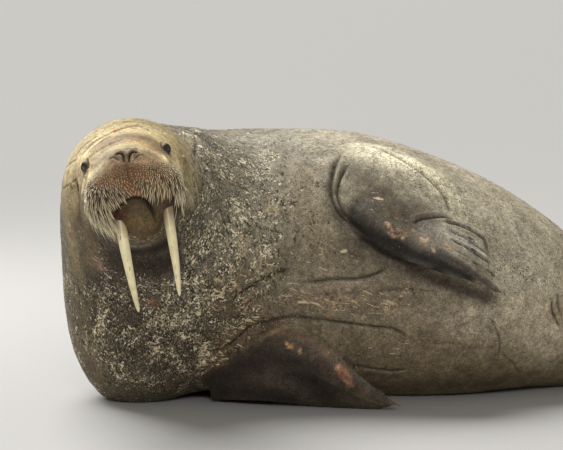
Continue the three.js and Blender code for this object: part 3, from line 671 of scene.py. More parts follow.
BROW = (
    crease(4.5, 5.5, 0.85, (80.5, 159), (85.6, 150.8), (93.8, 142.7), (103, 137), (114.2, 131.9),
           (126.4, 127.3), (136.6, 126.3), (143.8, 127.8), (152, 132.4), (158, 135.5), (165.2, 138)),
    ridge(7, 4.5, (82.6, 162), (88.7, 153), (98.9, 144), (112.1, 136.3), (126.4, 132.2), (138.7, 131),
          (150, 133.6), (160, 137.6), (165.5, 141)),
    crease(6, 2.2, 0.25, (84, 165.5), (90.5, 157), (100.5, 149.5), (113, 143), (125, 140)),
    crease(4, 2.6, 0.6, (113, 124.5), (126, 122.4), (138, 122.2), (150, 125.4), (161, 131.2), (169, 138.5)),
    crease(4, 2, 0.45, (131, 119.9), (143, 120.4), (155, 124.5), (166, 131), (174, 138)),
    crease(4, 1.8, 0.4, (92, 133.5), (102, 128.5), (113, 124.8)),
    crease(4, 2.2, 0.45, (74, 158), (81, 149), (90, 141), (100, 134.5)),
)
CHEEKS = (
    ridge(6, 4.5, (95, 160.5), (91.8, 168), (90, 175.3), (89, 183), (88.5, 191)),
    crease(5, 9, 1, (90.5, 163), (88.2, 170), (86.8, 178), (85.3, 187), (83.4, 197), (82, 208)),
    crease(4, 6, 1, (76, 179), (78, 185), (79, 192)),
    crease(4, 2, 0.5, (62.5, 190), (67, 186), (72, 183), (79, 178)),
    crease(4, 2, 0.4, (66, 168), (71, 163), (77, 160)),
    crease(3.5, 2.6, 0.8, (82.2, 171), (83.5, 176.5), (87, 181)),
    ridge(5.5, 4.5, (157, 149), (163.5, 156), (168.8, 165), (173.2, 174), (177, 182), (181, 192)),
    crease(5, 9, 1, (165.5, 156), (170.8, 163), (175.2, 172), (179.4, 181), (184.5, 191), (189, 202)),
    ridge(6, 4, (168.3, 140.6), (172.8, 150.8), (177, 161), (180.5, 172), (186, 185), (193, 202)),
    crease(4, 3.4, 0.7, (170.5, 138.5), (175.5, 149), (179.7, 160), (183.5, 171), (189, 184)),
    crease(4, 2.6, 0.55, (160, 128), (171, 135.5), (178.5, 146), (182.5, 158), (185, 169)),
    crease(3.5, 2.4, 0.7, (172.5, 158), (175, 164), (178, 170)),
    crease(5, 3, 0.5, (186, 181), (191, 190), (196, 203), (198, 215)),
)
NOSE = (
    crease(3.9, 8, 1, (115.6, 156.2), (117, 154.2), (119.6, 153.2), (122.2, 154.2), (123.8, 157.6),
           (124.2, 161), (124.4, 164)),
    crease(3.9, 8, 1, (138, 153.6), (135.6, 151.9), (132.6, 152), (130.2, 154.2), (129.3, 158), (129, 161),
           (128.8, 164)),
    ridge(5, 2, (113, 153.2), (117, 150.2), (121, 150), (125, 152)),
    ridge(5, 2, (141, 150.5), (136, 148.4), (132, 148.8), (128.3, 151.5)),
    crease(5, 2.4, 0.55, (117, 148.6), (122, 146.9), (127, 146.5), (132, 146.3), (137.5, 147)),
    crease(3.6, 2.2, 0.6, (108, 160), (112.5, 157.6), (116, 158.8), (119.5, 161)),
    crease(3.6, 2.2, 0.6, (146, 156.5), (141, 154.8), (137.5, 156.5), (134.5, 159.5)),
    crease(3.8, 3, 0.6, (126.5, 156), (126.5, 163), (127, 171), (128.5, 182)),
)
MOUTH = (
    crease(5.5, 11, 1, (113.5, 222), (116, 213.5), (120.5, 206.3), (128.6, 200.2), (137, 197.9),
           (144.5, 200.6), (150, 207), (154.5, 216), (158, 225)),
    ridge(7, 5, (110.5, 219), (113, 210.5), (118, 203), (127, 196.6), (137, 194), (147, 196.8),
          (153.5, 204), (158, 213)),
    crease(7, 7, 0.7, (131, 246.5), (145, 244.6), (157, 241), (165, 234.5)),
    ridge(5, 3, (132.5, 242.6), (145, 240.6), (156.5, 237), (163.5, 231.5)),
)
HEAD_FOLDS = BROW + CHEEKS + NOSE + MOUTH
NECK_FOLDS = (
    crease(7, 6, 0.9, (193.8, 133.3), (195.7, 145.5), (197, 159.5)),
    crease(7, 5, 0.6, (207.2, 163.4), (204.6, 181.2), (200.8, 195.3)),
    crease(7, 3, 0.3, (208, 140), (213, 152), (214, 164)),
    crease(7, 5, 0.6, (282.4, 199), (286.3, 211.8), (288.2, 222)),
    crease(16, 4, 0.15, (252, 134), (256, 152), (255, 172), (250, 190)),
    crease(18, 4, 0.15, (284, 130), (288, 150), (286, 176), (280, 195)),
)
SLEEVE_FOLDS = (
    crease(6, 7, 0.9, (345, 150.5), (336.5, 163), (332.2, 180), (331.8, 196), (336, 208), (345, 219.5),
           (356, 229)),
    crease(6, 8, 1, (352, 160.5), (343.5, 172), (338.5, 184), (337.5, 196), (341.5, 208), (350, 220),
           (362, 232), (377, 243)),
    ridge(6, 3, (349, 156), (340, 168), (335.2, 182), (334.6, 196), (339, 208), (348, 219.5)),
    crease(7.5, 12, 1, (364, 145), (379, 149), (399.8, 158.6), (419.2, 171.3), (434, 183.9), (444.4, 195.8),
           (449, 206), (451, 215)),
    ridge(9, 9, (372, 143.5), (399.8, 153.5), (420.5, 166.6), (436.5, 178.5), (447.5, 191), (453, 202),
          (455, 214)),
    crease(5, 6, 0.6, (384, 146), (404, 155), (426, 168), (442, 181), (452, 194), (457.5, 208)),
    crease(5.5, 7, 0.9, (411.7, 224), (419.2, 219.6), (431, 217.3), (445.9, 216.6), (456.3, 221)),
    ridge(7, 3, (408, 219), (420, 214.6), (434, 212.6), (448, 213)),
)
HAND_FOLDS = (
    crease(4.8, 7, 1, (443, 221), (459, 225.5), (473, 232.5), (485, 240)),
    crease(4.8, 7, 1, (446, 229), (461, 236), (475, 245), (488, 254)),
    crease(4.8, 7, 1, (449, 238), (465, 246.5), (480, 256.5), (493.5, 264.5)),
    crease(4.8, 7, 1, (452, 248), (468, 257.5), (484, 268.5), (500, 280)),
    ridge(5, 3, (452, 226), (466, 231), (480, 239)),
    ridge(5, 3, (456, 235.5), (470, 242.5), (483, 251)),
    ridge(5, 3, (458, 244), (473, 252), (488, 262)),
    ridge(5, 3, (460, 254.5), (476, 264), (493, 276)),
    ridge(6, 4, (430, 243), (450, 254), (470, 267), (490, 282), (503, 294)),
)
BELLY_FOLDS = (
    crease(7, 10, 1, (228, 304), (236.5, 297.3), (251.8, 286.8), (264.6, 278.8), (279.9, 271.8),
           (295, 267)),
    crease(6, 8, 0.9, (296, 283.5), (319.4, 281), (338.6, 279), (360, 278.4), (378, 273), (391, 265)),
    ridge(10, 3.5, (232, 313), (243, 303), (256, 295), (270, 290)),
    crease(4.5, 3, 0.5, (375, 292), (395, 289.5), (420, 290), (445, 292)),
    crease(4.5, 2.5, 0.4, (310, 297), (330, 294), (352, 293), (372, 288)),
    crease(5, 7, 0.9, (195, 363), (218, 352), (236, 340), (251, 327.5), (276, 319.5), (294, 316.5),
           (312, 318.5), (343, 323), (374, 327), (393, 329), (404, 335), (412, 342)),
    ridge(9, 6, (190, 371), (207, 362), (227, 352), (246, 340), (264, 329.5), (282, 324)),
    crease(6, 4, 0.6, (345, 364), (372, 369), (392, 371), (410, 369)),
    crease(6, 2.5, 0.35, (430, 345), (452, 343), (470, 345)),
    crease(6, 6, 0.9, (553, 297), (552.5, 308), (556, 319), (562, 329)),
    crease(6, 4, 0.7, (559, 292), (558, 303), (561, 313)),
    crease(4, 3, 0.6, (486, 312), (496, 328), (500, 343), (498, 360)),
    crease(4, 2.5, 0.5, (500, 353), (512, 362), (519, 374)),
    crease(4, 2, 0.4, (456, 328), (470, 322), (484, 313)),
)
NAPE_WAY, TRUNK_WAY = (-28, -120, 96), (1, 0, 0)
HIDDEN_FOLDS = (
    girth(15, 10, 0.7, (-452, -462, 696), NAPE_WAY, (-75, 95), 20),
    girth(26, 9, 0, (-446, -430, 672), NAPE_WAY, (-80, 100), 26),
    girth(15, 10, 0.7, (-438, -396, 644), NAPE_WAY, (-70, 110), 34),
    girth(15, 9, 0.6, (-420, -330, 598), NAPE_WAY, (-50, 100), -30),
    girth(14, 6, 0.5, (-330, -150, 480), (-70, -160, 110), (-40, 85), 50),
    girth(13, 5, 0.4, (-60, 0, 414), TRUNK_WAY, (-130, -35), 70),
    girth(12, 4, 0.3, (330, 10, 380), TRUNK_WAY, (-120, -50), -50),
    girth(13, 5, 0.5, (980, 88, 196), TRUNK_WAY, (-120, 60), 60),
    girth(12, 6, 0.5, (1180, 124, 158), TRUNK_WAY, (-95, 95), 40),
    girth(12, 6, 0.5, (1330, 148, 138), TRUNK_WAY, (-100, 85), -36),
    girth(11, 6, 0.5, (1450, 168, 118), TRUNK_WAY, (-90, 80), 24),
)
FOLDS = HEAD_FOLDS + NECK_FOLDS + SLEEVE_FOLDS + HAND_FOLDS + BELLY_FOLDS + HIDDEN_FOLDS


@dataclass
class Unwrap:
    """A flat unwrap of the hide's own shape, which gives each tuft and bristle its patch."""

    tree: BVHTree
    spots: Array

    @classmethod
    def of(cls, skin: Object) -> "Unwrap":
        """Unwraps a copy of the hide.

        Args:
            skin: the hide.

        Returns:
            The unwrap.
        """
        copy = skin.copy()
        copy.data = skin.data.copy()
        bpy.context.collection.objects.link(copy)
        with editing(copy):
            bpy.ops.uv.smart_project(angle_limit=math.radians(66), island_margin=0.002)
        mesh = copy.data
        corners = numbers(mesh.uv_layers.active.data, "uv", 2)
        spots = np.array([corners[list(p.loop_indices)].mean(axis=0) for p in mesh.polygons])
        faces = [tuple(p.vertices) for p in mesh.polygons]
        tree = BVHTree.FromPolygons([v.co.copy() for v in mesh.vertices], faces)
        bpy.data.objects.remove(copy)
        return cls(tree, spots)

    def patches(self, points: Array) -> Array:
        """The places on the unwrap that are nearest to points."""
        return self.spots[[self.tree.find_nearest(Vector(p))[2] for p in points]]


@dataclass
class Skin:
    """The hide: one surface over all the flesh. Lengths in mm."""

    cell: float = 17  # of the first even mesh
    thin: float = 7  # how far flippers are let out, so that the first mesh doesn't lose their edges
    strand: float = 4.5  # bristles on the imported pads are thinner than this
    folds: tuple[Fold, ...] = FOLDS
    levels: tuple[Pair, ...] = ((100, 26), (10, 6), (4.5, 2))  # widest fold, reach past it
    trunk_rounds: int = 34  # of smoothing
    head_rounds: int = 5
    off_head: Pair = (18, 60)  # how far off the head the trunk's rounds start, and all hold
    to_trunk: Pair = (50, 10)  # the same on a flipper, by how near the trunk is
    on_flipper: float = 19  # nearer to a packed flipper than this is on it
    laid_reach: float = 21  # nearer to a packed flipper than this is laid back on it
    laid: Pair = (6, 45)  # how far from the trunk that starts, and is whole
    fine_flipper: float = 15  # how far round a flipper the mesh is split
    fine_eye: float = 40
    fine_ear: Pair = (36, 24)  # at levels 1 and 2
    lines: list[Array] = field(default_factory=list)
    ears: dict[Side, Array] = field(default_factory=dict)
    unwrap: Unwrap | None = None

    def shaved(self, name: str) -> Object:
        """A copy of a whisker pad without its bristles."""
        pad = copy_of(name)
        clay = Clay(pad)
        tree = clay.bvh()
        doomed = set()
        for number, (point, normal) in enumerate(zip(clay.points, clay.normals)):
            inward = -Vector(normal)
            if tree.ray_cast(Vector(point) + inward * 0.3 * MM, inward, self.strand * MM)[0] is not None:
                doomed.add(number)
        bm = bmesh.new()
        bm.from_mesh(pad.data)
        bm.verts.ensure_lookup_table()
        bmesh.ops.delete(bm, geom=[bm.verts[i] for i in doomed], context="VERTS")
        bmesh.ops.holes_fill(bm, edges=bm.edges[:], sides=0)
        bm.to_mesh(pad.data)
        bm.free()
        return pad

    def cast(self) -> Object:
        """Joins copies of the flesh into one even mesh."""
        copies = []
        for name in FLESH + ("eye_left", "eye_right"):
            copy = self.shaved(name) if name.startswith("whisker") else copy_of(name)
            if "flipper" in name:
                use_modifier(copy, "DISPLACE", strength=self.thin * MM, mid_level=0.0)
            copies.append(copy)
        pick(copies[0])
        for copy in copies:
            copy.select_set(True)
        bpy.ops.object.join()
        skin = bpy.context.object
        skin.name = "hide"
        use_modifier(skin, "REMESH", mode="VOXEL", voxel_size=self.cell * MM)
        self.keep_largest(skin)
        return skin

    @staticmethod
    def keep_largest(obj: Object) -> None:
        """Deletes all but the largest closed surface of a mesh."""
        bm = bmesh.new()
        bm.from_mesh(obj.data)
        left = set(bm.verts)
        groups = []
        while left:
            group = {left.pop()}
            border = list(group)
            while border:
                for edge in border.pop().link_edges:
                    for vert in edge.verts:
                        if vert in left:
                            left.discard(vert)
                            group.add(vert)
                            border.append(vert)
            groups.append(group)
        groups.sort(key=len)
        bmesh.ops.delete(bm, geom=[v for group in groups[:-1] for v in group], context="VERTS")
        bm.to_mesh(obj.data)
        bm.free()

    def settle(self, clay: Clay) -> None:
        """Smooths the facets of the solids away, most on the trunk and least on head and flippers."""
        head = distances(HEAD_PARTS, clay.points)
        off_trunk = distances(TRUNK, clay.points)
        on_flipper = distances(FLIPPERS, clay.points) < self.on_flipper
        body = np.where(on_flipper, smoothstep(*self.to_trunk, off_trunk), 1)
        body = smoothstep(*self.off_head, head) * body
        for rounds, weight in ((self.trunk_rounds, body), (self.head_rounds, 1 - body)):
            clay.relax(rounds, weight)

    def lay_flippers(self, clay: Clay) -> None:
        """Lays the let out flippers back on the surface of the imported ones."""
        flippers = tree_of(FLIPPERS)
        near = np.flatnonzero(distances(FLIPPERS, clay.points) < self.laid_reach)
        share = smoothstep(*self.laid, distances(TRUNK, clay.points[near]))
        target = np.array([flippers.find_nearest(Vector(p))[0] for p in clay.points[near]])
        clay.points[near] += (target - clay.points[near]) * share[:, None]
        clay.write()

    def small_forms(self, level: int, points: Array) -> Array:
        """Which points lie on small forms other than folds, from the larger ones at level 0 to level 2."""
        local = HEAD.local_mm(points)
        if level == 0:
            wanted = WHOLE_HEAD.holds(local)
            for name in FLIPPERS:
                wanted |= distances((name,), points) < self.fine_flipper
            return wanted
        if level == 1:
            wanted = FACE.holds(local) & (local[:, 2] > 0)
        else:
            wanted = NOSTRILS.holds(local)
            for side in Side:
                eye = np.array(HEAD.place(side.mirrored(Eye.at)))
                wanted |= row_lengths(points - eye) < self.fine_eye * MM
        for ear in self.ears.values():
            wanted |= row_lengths(points - ear) < self.fine_ear[level - 1] * MM
        return wanted

    def refine(self, clay: Clay) -> None:
        """Splits the mesh on head, hands and folds, then on the face, then on eyes and nostrils."""
        for level, (widest, reach) in enumerate(self.levels):
            wanted = self.small_forms(level, clay.points)
            for fold, line in zip(self.folds, self.lines):
                if fold.width < widest:
                    wanted[beside(line, clay.points, (reach + fold.width) * MM)[0]] = True
            clay.refine(wanted)
            if level == 0:
                self.lay_flippers(clay)
            clay.relax(2, 0.9)
            LOG.info("skin, level %d: %d points", level, len(clay.points))

    def crease(self, clay: Clay) -> Array:
        """Presses the folds into the hide.

        Args:
            clay: the hide.

        Returns:
            How dark each point is made by the shade painted into a fold.
        """
        painted_shade = np.zeros(len(clay.points))
        for fold, line in zip(self.folds, self.lines):
            width = fold.width * MM
            near, off, share = beside(line, clay.points, width * FOLD_REACH)
            x = off / width
            fade = smoothstep(0, FOLD_END, share)
            if fold.profile is Profile.CREASE:
                move = BANK_HIGH * bell(x, BANK_AT, BANK_WIDE) - np.exp(-(x**2) * GROOVE_STEEP)
            else:
                move = bell(x, 0, 1)
            clay.points[near] += clay.normals[near] * (move * fade * fold.depth * MM)[:, None]
            # painted shade along the bottom of each fold
            painted_shade[near] = np.maximum(painted_shade[near], fold.dark * fade * bell(x, 0, SHADE_WIDE))
        clay.write()
        return painted_shade

    def build(self, finish: "HideFinish") -> Object:
        """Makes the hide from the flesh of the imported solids."""
        skin = self.cast()
        clay = Clay(skin)
        self.settle(clay)
        LOG.info("skin, first mesh: %d points", len(clay.points))
        tree = clay.bvh()
        self.lines = [fold.on(tree) for fold in self.folds]
        self.ears = {side: Ear(side).middle(tree) for side in Side}
        self.unwrap = Unwrap.of(skin)
        self.refine(clay)
        tree = clay.bvh()
        self.lines = [fold.on(tree) for fold in self.folds]
        painted_shade = self.crease(clay)
        for side in Side:
            painted_shade = np.maximum(painted_shade, Ear(side).press(clay, self.ears[side]))
            Eye(side).open_lids(clay)
        clay.write()
        Paint(clay, painted_shade).apply()
        smooth(skin)
        dress(skin, finish.material())
        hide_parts(*FLESH)
        return skin


# Stains are mostly the hide's own tones and marks, but some are painted shade and a few are painted
# highlights.
@dataclass(frozen=True)
class Stain:
    """A soft patch of colour or of marks along a line seen in the photograph.

    Attributes:
        line: pixels of the photograph that it runs through.
        reach: how far it spreads, in mm.
        colour: its colour, or None where it only changes the marks.
        strength: how much of it covers the hide in its middle.
        marks: the shares of speckles, pits and scratches in its middle, or None to leave them.
    """

    line: tuple[Pixel, ...]
    reach: float
    colour: str | None = None
    strength: float = 1
    marks: Point | None = None

    @classmethod
    def rows(cls, *rows: tuple) -> tuple["Stain", ...]:
        """The stains whose fields are given in rows."""
        return tuple(cls(*row) for row in rows)

    def shares(self, tree: BVHTree, points: Array) -> Array:
        """How much of the stain each point takes."""
        pixels = np.array(self.line, dtype=float)
        if len(pixels) > 1:
            pixels = curve_through(pixels, steps=8)
        spots = np.array([hit for hit in VIEW.hits(tree, pixels) if hit is not None])
        reach = self.reach * MM
        near = inside_box(points, spots, reach * 2.2)
        least = np.full(len(near), np.inf)
        for spot in spots:
            least = np.minimum(least, ((points[near] - spot) ** 2).sum(axis=1))
        share = np.zeros(len(points))
        share[near] = np.exp(-least / reach**2)
        return share * self.strength


BODY_STAINS_AND_HIGHLIGHTS = Stain.rows(
    (((205, 150), (215, 200), (210, 250), (190, 300)), 150, "625c50", 0.95, (1.09, 0.3, 0.3)),
    (((265, 150), (262, 200), (250, 250)), 120, "7b7463", 0.85, (1.1, 0.6, 0.5)),
    (((90, 280), (130, 320), (180, 350), (200, 370)), 150, "463c31", 0.95, (1.0, 0.0, 0.7)),
    (((75, 260), (80, 320), (95, 370)), 60, "6a5d49", 0.8, (0.8, 0.0, 0.9)),
    (((230, 300), (260, 330), (215, 360)), 80, "604f3d", 0.8, (0.8, 0.0, 1.1)),
    (((215, 290), (240, 275), (270, 262)), 60, "655742", 0.6, (1.0, 0.0, 1.2)),
    (((300, 175), (308, 215), (325, 245)), 60, "877a60", 0.7, (0.75, 0.8, 0.2)),
    (((300, 255), (350, 258)), 60, "6c604c", 0.7, (0.7, 0.5, 1.0)),
    (((300, 298), (350, 302), (400, 302)), 60, "7c6c57", 0.8, (0.5, 0.4, 1.3)),
    (((330, 345), (380, 350), (430, 345), (480, 345)), 90, "746652", 0.8, (0.4, 0.5, 0.95)),
    (((360, 385), (430, 385), (500, 380)), 60, "62533f", 0.8, (0.2, 0.3, 0.4)),
    (((470, 310), (520, 320), (555, 340)), 90, "afa28a", 0.8, (0.2, 0.6, 0.6)),
    (((500, 270), (530, 285), (550, 280)), 70, "b5a990", 0.7, (0.15, 0.7, 0.4)),
    (((545, 285), (552, 320), (556, 350)), 60, "b3a68d", 0.7, (0.2, 0.6, 0.3)),
    (((350, 170), (374, 184), (404, 200), (424, 212)), 46, "5d5240", 0.75, (0.45, 0.5, 0.7)),
    (((545, 300), (557, 315)), 26, "a0906f", 0.7, (0.2, 0.5, 0.2)),
    # painted highlight on the roll over the shoulder and the lit top of the flank
    (((360, 146), (400, 160), (436, 180), (452, 200)), 56, "e2d9ba", 0.9, (0.1, 0.9, 0)),
    # painted highlight along the upper edge of the lower fore flipper
    (((244, 350.5), (258, 341), (271, 333), (285, 327.5), (300, 328), (316, 334)), 7, "9c8965", 0.75,
     (0.3, 0, 0.3)),
    (((218, 352), (236, 340), (252, 330), (275, 322)), 16, "5b4a38", 0.7, (0.5, 0, 0.6)),
    (((235, 140), (262, 138), (292, 136)), 60, "8c8674", 0.7, (0.6, 0.6, 0)),
    (((470, 200), (500, 220), (530, 245)), 70, "b0a790", 0.7, (0.15, 0.7, 0)),
    (((420, 200), (450, 230), (500, 260), (540, 280)), 80, "aba28c", 0.8, (0.2, 0.9, 0.2)),
    (((330, 150), (345, 142), (370, 140)), 40, "857c66", 0.8, (0.3, 0.9, 0)),
)
SHADE_STAINS = Stain.rows(
    (((342, 216), (352, 231), (366, 244), (386, 257), (410, 268)), 34, "241e18", 0.95, (0.2, 0, 0.3)),
    (((410, 270), (436, 280), (462, 290), (486, 298)), 30, "342c24", 0.9, (0.2, 0, 0.3)),
    (((350, 250), (380, 268), (410, 280)), 44, "5b4f40", 0.7, (0.35, 0, 0.8)),
    (((333, 165), (329, 185), (331, 203), (338, 215)), 14, "5a4f40", 0.7, (0.4, 0.3, 0.2)),
    (((380, 290), (420, 300), (460, 306)), 34, "6a5e4d", 0.6, (0.3, 0.2, 0.5)),
)
ARM_STAINS_AND_SHADE = Stain.rows(
    (((350, 172), (362, 186), (378, 197), (400, 208), (424, 217)), 56, "4f4537", 0.9, (0.4, 0.5, 0.7)),
    (((372, 204), (392, 214), (412, 224), (432, 234)), 26, "5a5042", 0.8, (0.35, 0.3, 0.8)),
    # the next six are painted shade: the shaded lower side of the arm and the shadow beneath it
    (((345, 206), (352, 216), (364, 228), (380, 239), (398, 248)), 38, "1b1611", 1, (0.15, 0, 0.3)),
    (((398, 248), (416, 255), (438, 262)), 34, "1b1611", 1, (0.15, 0, 0.3)),
    (((438, 262), (455, 270), (470, 278)), 20, "1f1a15", 1, (0.1, 0, 0.1)),
    (((340, 200), (350, 218)), 18, "3a3228", 0.8, (0.15, 0, 0.1)),
    (((364, 240), (386, 254), (410, 264), (440, 272), (462, 282)), 26, "1b1611", 0.95, (0.1, 0, 0.1)),
    (((380, 268), (402, 276), (430, 280), (455, 288)), 32, "3d352b", 0.8, (0.15, 0, 0.3)),
    (((425, 228), (450, 234), (472, 250)), 28, "938c7f", 0.9, (0.1, 0.2, 0.4)),
    (((448, 221), (466, 227), (480, 236), (487, 246)), 10, "57524a", 0.8, (0.05, 0, 0)),
    (((462, 238), (478, 248), (490, 262), (497, 276)), 14, "a8a295", 0.75, (0.05, 0, 0)),
    # painted shade on the underside of the leading digit
    (((440, 254), (465, 268), (490, 287), (504, 298)), 12, "35312c", 0.9, (0.05, 0, 0)),
    (((484, 239), (488, 253), (493.5, 264), (500.5, 279)), 7, "2a2723", 0.75),
    (((386, 223), (390, 227), (393, 231)), 4.5, "b08465", 0.85),
    (((388, 232), (392, 235), (397, 237)), 3.6, "bf9678", 0.8),
    (((398, 229), (404, 232), (405, 236)), 4, "b58a6c", 0.8),
    (((386, 222.5), (389, 224)), 3, "dcc2a4", 0.9),
    (((401, 235), (404, 239)), 2.8, "d9bb9b", 0.9),
    (((412, 229), (415, 231)), 3, "b98c6c", 0.7),
    (((421, 238), (425, 240.5), (429, 238.5)), 4.5, "c9a983", 0.9),
    (((445, 243), (451, 248)), 3.5, "c08a64", 0.8),
    (((433, 249), (434, 251)), 4, "cfa883", 0.8),
)
LOW_ARM_STAINS_AND_SHADE = Stain.rows(
    (((232, 359), (244, 351.5), (258, 342)), 9, "5c4e3c", 0.8, (0.3, 0, 0.3)),
    # painted shadow over the lower fore flipper, under the body
    (((215, 378), (245, 366), (268, 356), (290, 366), (312, 382), (330, 395)), 70, "261f18", 0.97,
     (0.1, 0, 0.2)),
    (((280, 331), (300, 334), (316, 343), (330, 356)), 15, "6e5a47", 0.9, (0.15, 0, 0.3)),
    # painted shade below the flipper's upper edge
    (((298, 345), (314, 355), (328, 368)), 16, "54443a", 0.7, (0.15, 0, 0.2)),
    (((337, 366), (343, 369), (348, 376), (352, 384)), 7, "b07e60", 0.85),
    (((339, 372), (343, 379)), 6.5, "93593f", 0.8),
    (((336, 369), (340, 366)), 3.5, "d3b092", 0.85),
    (((345, 381), (350, 386)), 3.5, "c2977a", 0.8),
    (((286, 343), (289, 347), (292, 346)), 4, "c9996a", 0.95),
    (((299, 349), (301, 352)), 4, "cfa98a", 0.9),
    (((356, 379), (370, 387), (392, 402)), 14, "4b4640", 0.9, (0.05, 0, 0)),
    # painted shadow low on the lower fore flipper, by the floor
    (((215, 388), (250, 392), (290, 398)), 45, "29221b", 0.95, (0.1, 0, 0.2)),
)
FACE_STAINS_AND_SHADE = Stain.rows(
    (((75, 150), (95, 130), (130, 120), (160, 125), (182, 145), (188, 170)), 62, "9c8a5f", 1,
     (0.1, 0.75, 0.2)),
    (((66, 190), (68, 215), (71, 240), (74, 262)), 46, "8f7f5b", 0.95, (0.15, 0.7, 0.8)),
    (((84, 225), (90, 245), (92, 262)), 34, "77674b", 0.85, (0.4, 0.5, 0.9)),
    (((75, 170), (80, 195), (84, 215)), 30, "94805a", 0.9, (0, 0.7, 0.6)),
    # the next two are painted shade along the creases below the right eye
    (((83.5, 176), (81.5, 185), (80, 196), (79.5, 208), (80, 220)), 8, "44362a", 0.85),
    (((77.5, 183), (78, 190), (78.5, 196)), 6, "2d231a", 0.9),
    # painted shade along the crease of the left cheek
    (((167.5, 158), (172.5, 166), (177.5, 176), (182, 186), (187, 197)), 7, "5d4b37", 0.75),
    (((100, 145), (125, 136), (150, 140), (160, 150)), 52, "7c6646", 1, (0, 0.3, 0)),
    (((176, 156), (184, 174), (190, 192)), 20, "b9a67c", 0.85, (0.1, 0.6, 0.2)),
    (((138, 142), (148, 146)), 28, "b08a5a", 0.4, (0, 0, 0)),
    # the next two are painted shade on the sides of the muzzle
    (((96, 165), (108, 155), (118, 160)), 34, "6c5739", 0.9, (0, 0.2, 0)),
    (((138, 160), (152, 155), (165, 168)), 30, "846d4e", 0.9, (0, 0.2, 0)),
    # painted shade above the nose
    (((117, 150), (126.5, 148.6), (136, 149)), 8, "5a4d3c", 0.8),
    # the next four are painted shade in the nostril slits
    (((116.4, 155.6), (118.4, 153.9), (121, 154), (123, 156), (124, 159)), 4.6, "14100c", 1),
    (((137.4, 153.2), (134.6, 152.2), (132, 152.6), (130, 155), (129.3, 158)), 4.6, "14100c", 1),
    (((124.2, 160), (124.5, 165)), 3.4, "1c1610", 0.9),
    (((129, 159.5), (128.8, 164)), 3.4, "1c1610", 0.9),
    # painted shade under the arch of the upper lip
    (((150, 211), (154, 219), (158, 227)), 17, "2a2018", 0.95),
    (((118, 156), (126.5, 155), (135, 155)), 11, "5f5142", 0.85),
    (((104, 168), (115, 163.5), (126.5, 162), (140, 162), (155, 166)), 7, "b9a085", 0.6),
    (((97, 190), (105, 182), (116, 176), (126, 174), (140, 173), (155, 176), (168, 185)), 44, "694a31",
     1, (0, 1, 0)),
    (((92, 205), (100, 212), (108, 216)), 34, "2a1e15", 1, (0, 0.8, 0)),
    (((98, 196), (112, 196), (122, 192)), 22, "3b2a1c", 0.8, (0, 1, 0)),
    (((148, 190), (160, 195), (172, 200), (180, 204)), 32, "33241a", 1, (0, 0.8, 0)),
    (((126, 185), (132, 192), (140, 193)), 16, "7d4b30", 0.85),
    (((150, 180), (158, 188), (166, 192)), 24, "7a5232", 0.7),
    (((113, 221), (116, 209), (122, 203)), 10, "6a3a27", 0.9),
    # the next three are painted shade under the arch of the upper lip, fading downward
    (((122, 212), (130, 204), (138, 202), (147, 207), (154, 218)), 17, "241c15", 0.95, (0, 0, 0)),
    (((130, 213), (140, 211), (150, 214)), 34, "4c3d27", 0.95, (0, 0, 0)),
    (((133, 226), (145, 224), (157, 222)), 34, "5c4c2f", 0.95, (0, 0, 0)),
    (((131, 240), (145, 238), (156, 234.5), (163, 229)), 10, "7b5c31", 0.9),
    (((132.5, 243), (145, 241), (157, 237.3), (164, 232)), 2.6, "b39c70", 0.8),
    # the next two are painted shade under the chin and on the throat
    (((128, 252), (150, 250), (170, 242)), 26, "2e261f", 0.95, (0.1, 0, 0)),
    (((120, 262), (148, 268), (172, 262)), 48, "362d25", 0.9, (0.35, 0, 0)),
    # the next two are painted shade round the roots of the tusks
    (((117, 217), (122, 216)), 16, "4a281b", 0.9),
    (((164, 216), (171, 216)), 16, "44301f", 0.9),
    (((113.4, 128), (115, 131.6)), 4.2, "a3552c", 0.9),
    (((184, 138), (190, 152), (193, 170), (196, 186)), 34, "a09272", 0.85, (0.85, 0.9, 0.6)),
    (((178, 168), (184, 182), (190, 198)), 30, "b8aa86", 0.8, (0.7, 0.9, 0.5)),
    (((150, 301), (154, 305)), 7, "b07a5e", 0.85),
    (((272, 209),), 14, "cfb98f", 0.85),
    (((242, 237), (243, 250)), 9, "cdb48a", 0.8),
    (((98, 262), (103, 270)), 12, "b5937a", 0.7),
)


@dataclass(frozen=True)
class Ground:
    """A ground colour of the hide, with its shares of speckles, pits and scratches."""

    colour: str
    marks: Point


FLANK = Ground("998f79", (0.15, 0.7, 0.1))
FRONT = Ground("564c3e", (0.9, 0.1, 0.4))
FLIPPER = Ground("544c41", (0.2, 0.1, 0.5))
HOOD = Ground("b3a073", (0.0, 0.6, 0.2))
UNDERSIDE = "807158"
LIDS = "6b5844"
EYE_RIM = "241c17"
# the colour of the shade painted into the folds and the ear holes
FOLD_SHADE = "1a1410"


